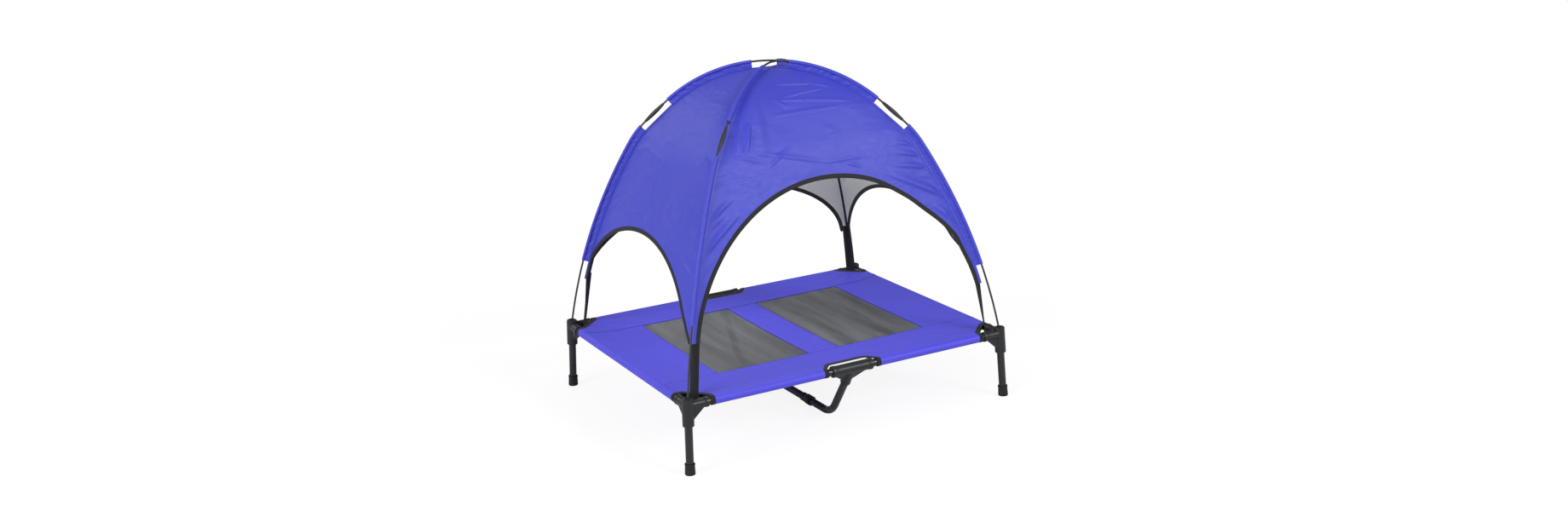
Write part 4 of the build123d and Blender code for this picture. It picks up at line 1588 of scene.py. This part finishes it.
    def make_seams(self) -> list[bpy.types.Object]:
        """Flat seams along the front and rear of the windows and out to the corners, and beside the nets.

        Returns:
            The seams, and the thin dark strips along their inner edges that paint the seams' shadow.
        """
        near, far = self.window_x
        hem, edge = 0.0045, 0.0005
        seams = []
        # The thin dark strips gathered in threads are painted shadow along each seam's inner edge and beside the
        # nets; they are no real thread.
        threads = []
        for end, flare in ((-1.0, 0.006), (1.0, 0.028)):
            for parts, reach, width in ((seams, hem, 0.008), (threads, edge, 0.0024)):
                line = self.window_y + reach
                way = [(0.450, line + flare), (0.425, line + 0.4 * flare), (0.390, line + 0.1 * flare), (far, line)]
                way = [(-x, end * y) for x, y in way] + [(x, end * y) for x, y in reversed(way)]
                parts.append(self.seam_strip(way, width))
        for x, way in ((-far, -1.0), (-near, 1.0), (near, -1.0), (far, 1.0)):
            for parts, reach, width in ((seams, hem, 0.007), (threads, edge, 0.0014)):
                parts.append(self.seam_strip([(x + way * reach, -self.window_y), (x + way * reach, self.window_y)],
                                             width))
        made = []
        for name, parts, finish in (("sheet_seams", seams, COT_CLOTH), ("sheet_seam_shadow", threads, SEAM_SHADOW_STRIP)):
            piece = Bench.join(name, parts)
            Bench.smooth(piece, 50.0)
            made.append(Bench.dress(piece, "cot", "cot_cloth", finish))
        return made

    def build(self) -> None:
        sheet = self.make_sheet()
        cuts = [[self.corner_block(corner, self.binding), self.corner_block(corner, 0.0)] for corner in Corner]
        trims = [self.make_binding("corner_edge_tape", "sheet_corner_bindings", cuts)]
        cuts = [[self.notch_block(side, self.binding), self.notch_block(side, 0.0),
                 self.under_notch(side, self.notch[0])] for side in (Side.FRONT, Side.REAR)]
        trims.append(self.make_binding("notch_edge_tape", "sheet_notch_bindings", cuts))
        trims += self.make_seams()
        for side in (Side.LEFT, Side.RIGHT):
            self.make_window(side)


@dataclass(frozen=True)
class Hardware:
    """The frame's own solids: tubes, mouldings, rods, which keep their shapes and get their finishes."""

    finishes: tuple[tuple[str, Finish], ...] = (
        ("corner_connector", HARD_PLASTIC),
        ("brace_tee", HARD_PLASTIC),
        ("brace_coupling", HARD_PLASTIC),
        ("foot_cap", SOFT_RUBBER),
        ("leg", TUBE_COAT),
        ("long_rail", TUBE_COAT),
        ("short_rail", TUBE_COAT),
        ("brace_tube", TUBE_COAT),
        ("upper_rod", ROD_COAT),
        ("lower_rod", ROD_COAT),
        ("pole_joint", JOINT_PLASTIC),
        ("pole_ferrules", FERRULE_METAL),
    )

    def build(self) -> None:
        """Put each finish on the nodes whose names start with its word."""
        for word, finish in self.finishes:
            for name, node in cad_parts.items():
                if name.startswith(word):
                    for slot in node.material_slots:
                        slot.material = finish.material()
            LOG.info("%s in %s", word, finish.name)


@dataclass(frozen=True)
class Studio:
    """Pale floor, soft light from above and both sides, and the camera."""

    camera_at: tuple[float, float, float] = (-1.9210, -3.5565, 1.5311)
    yaw: float = math.radians(-28.375)
    pitch: float = math.radians(16.288)
    roll: float = math.radians(-2.3245)
    focal_px: float = 1903.9
    image_width: float = 1840.0
    sensor_mm: float = 36.0
    centre_shift: tuple[float, float] = (6.85, -0.90)
    world_light: float = 0.38
    glossy_light: float = 0.25
    key_light: float = 1.5
    fill_light: float = 1.9
    rear_light: float = 0.30
    spot_light: float = 0.2
    inner_light: float = 1.15

    def make_camera(self) -> None:
        """Stand the camera where the picture was taken."""
        right = Vector((math.cos(self.yaw), math.sin(self.yaw), 0.0))
        ahead = Vector((-math.sin(self.yaw) * math.cos(self.pitch), math.cos(self.yaw) * math.cos(self.pitch),
                        -math.sin(self.pitch)))
        above = right.cross(ahead)
        turned = right * math.cos(self.roll) + above * math.sin(self.roll)
        above = above * math.cos(self.roll) - right * math.sin(self.roll)
        bpy.ops.object.camera_add()
        camera = bpy.context.active_object
        axes = Matrix((turned, above, -ahead)).transposed()
        camera.matrix_world = Matrix.Translation(self.camera_at) @ axes.to_4x4()
        camera.data.sensor_width = self.sensor_mm
        camera.data.lens = self.focal_px * self.sensor_mm / self.image_width
        camera.data.shift_x = self.centre_shift[0] / self.image_width
        camera.data.shift_y = self.centre_shift[1] / self.image_width
        bpy.context.scene.camera = camera

    def make_sun(self, name: str, strength: float, come_from: Point, softness: float) -> None:
        """One wide soft light.

        Args:
            name: name of the lamp.
            strength: how bright it is.
            come_from: where the light comes from.
            softness: its angle in degrees.
        """
        bpy.ops.object.light_add(type="SUN")
        lamp = Bench.name(name)
        lamp.data.energy = strength
        lamp.data.angle = math.radians(softness)
        lamp.rotation_euler = Vector(come_from).to_track_quat("Z", "Y").to_euler()

    def make_inner_light(self) -> None:
        """Soft panel under the top of the canopy, which lights the sheet."""
        bpy.ops.object.light_add(type="AREA", location=(0.0, 0.0, 0.80))
        lamp = Bench.name("inner_light")
        lamp.data.shape = "RECTANGLE"
        lamp.data.size = 0.34
        lamp.data.size_y = 0.26
        lamp.data.energy = self.inner_light
        lamp.visible_camera = False

    def make_world(self) -> None:
        """Even light from all round, dimmer in reflections and white where the camera sees it."""
        world = bpy.data.worlds.new("studio_air")
        bpy.context.scene.world = world
        world.use_nodes = True
        nodes, links = world.node_tree.nodes, world.node_tree.links
        background = nodes["Background"]
        background.inputs["Color"].default_value = (1.0, 1.0, 1.0, 1.0)
        path = nodes.new("ShaderNodeLightPath")
        level = None
        for ray, strength in (("Is Glossy Ray", self.glossy_light), ("Is Transmission Ray", 1.0),
                              ("Is Camera Ray", 1.0)):
            step = nodes.new("ShaderNodeMapRange")
            step.inputs["To Min"].default_value = self.world_light
            step.inputs["To Max"].default_value = strength
            links.new(path.outputs[ray], step.inputs["Value"])
            if level is not None:
                links.new(level, step.inputs["To Min"])
            level = step.outputs[0]
        links.new(level, background.inputs["Strength"])

    def make_floor(self) -> None:
        """White floor that keeps a faint shadow of the cot."""
        bpy.ops.mesh.primitive_plane_add(size=80.0, location=(0.0, 0.0, -0.0005))
        floor = Bench.name("studio_floor")
        shader = Shader("floor_paper")
        camera_ray = shader.node("ShaderNodeLightPath", output="Is Camera Ray")
        paper = shader.mix(camera_ray, (0.80, 0.80, 0.80, 1.0), (0.15, 0.15, 0.15, 1.0))
        glow = shader.mix(camera_ray, (0.0, 0.0, 0.0, 1.0), (0.88, 0.88, 0.88, 1.0))
        shader.finish(Base_Color=paper, Roughness=0.9, Specular_IOR_Level=0.0, Emission_Color=glow,
                      Emission_Strength=1.0)
        floor.data.materials.append(shader.material)

    def build(self) -> None:
        """Set up the whole studio."""
        self.make_camera()
        self.make_world()
        self.make_floor()
        self.make_sun("key_light", self.key_light, (0.50, -1.0, 0.65), 20.0)
        self.make_sun("fill_light", self.fill_light, (-1.0, -0.25, 0.50), 40.0)
        self.make_sun("rear_light", self.rear_light, (-0.32, 0.87, 0.44), 20.0)
        self.make_sun("spot_light", self.spot_light, (0.75, -0.60, 0.90), 5.0)
        self.make_inner_light()
        bpy.context.scene.view_settings.view_transform = "Standard"


def main() -> None:
    """Build the studio, dress the hardware, and make the soft pieces."""
    logging.basicConfig(level=logging.INFO, format="%(message)s")
    Studio().build()
    Hardware().build()
    CotSheet().build()
    Canopy().build()


if __name__ == "__main__":
    main()
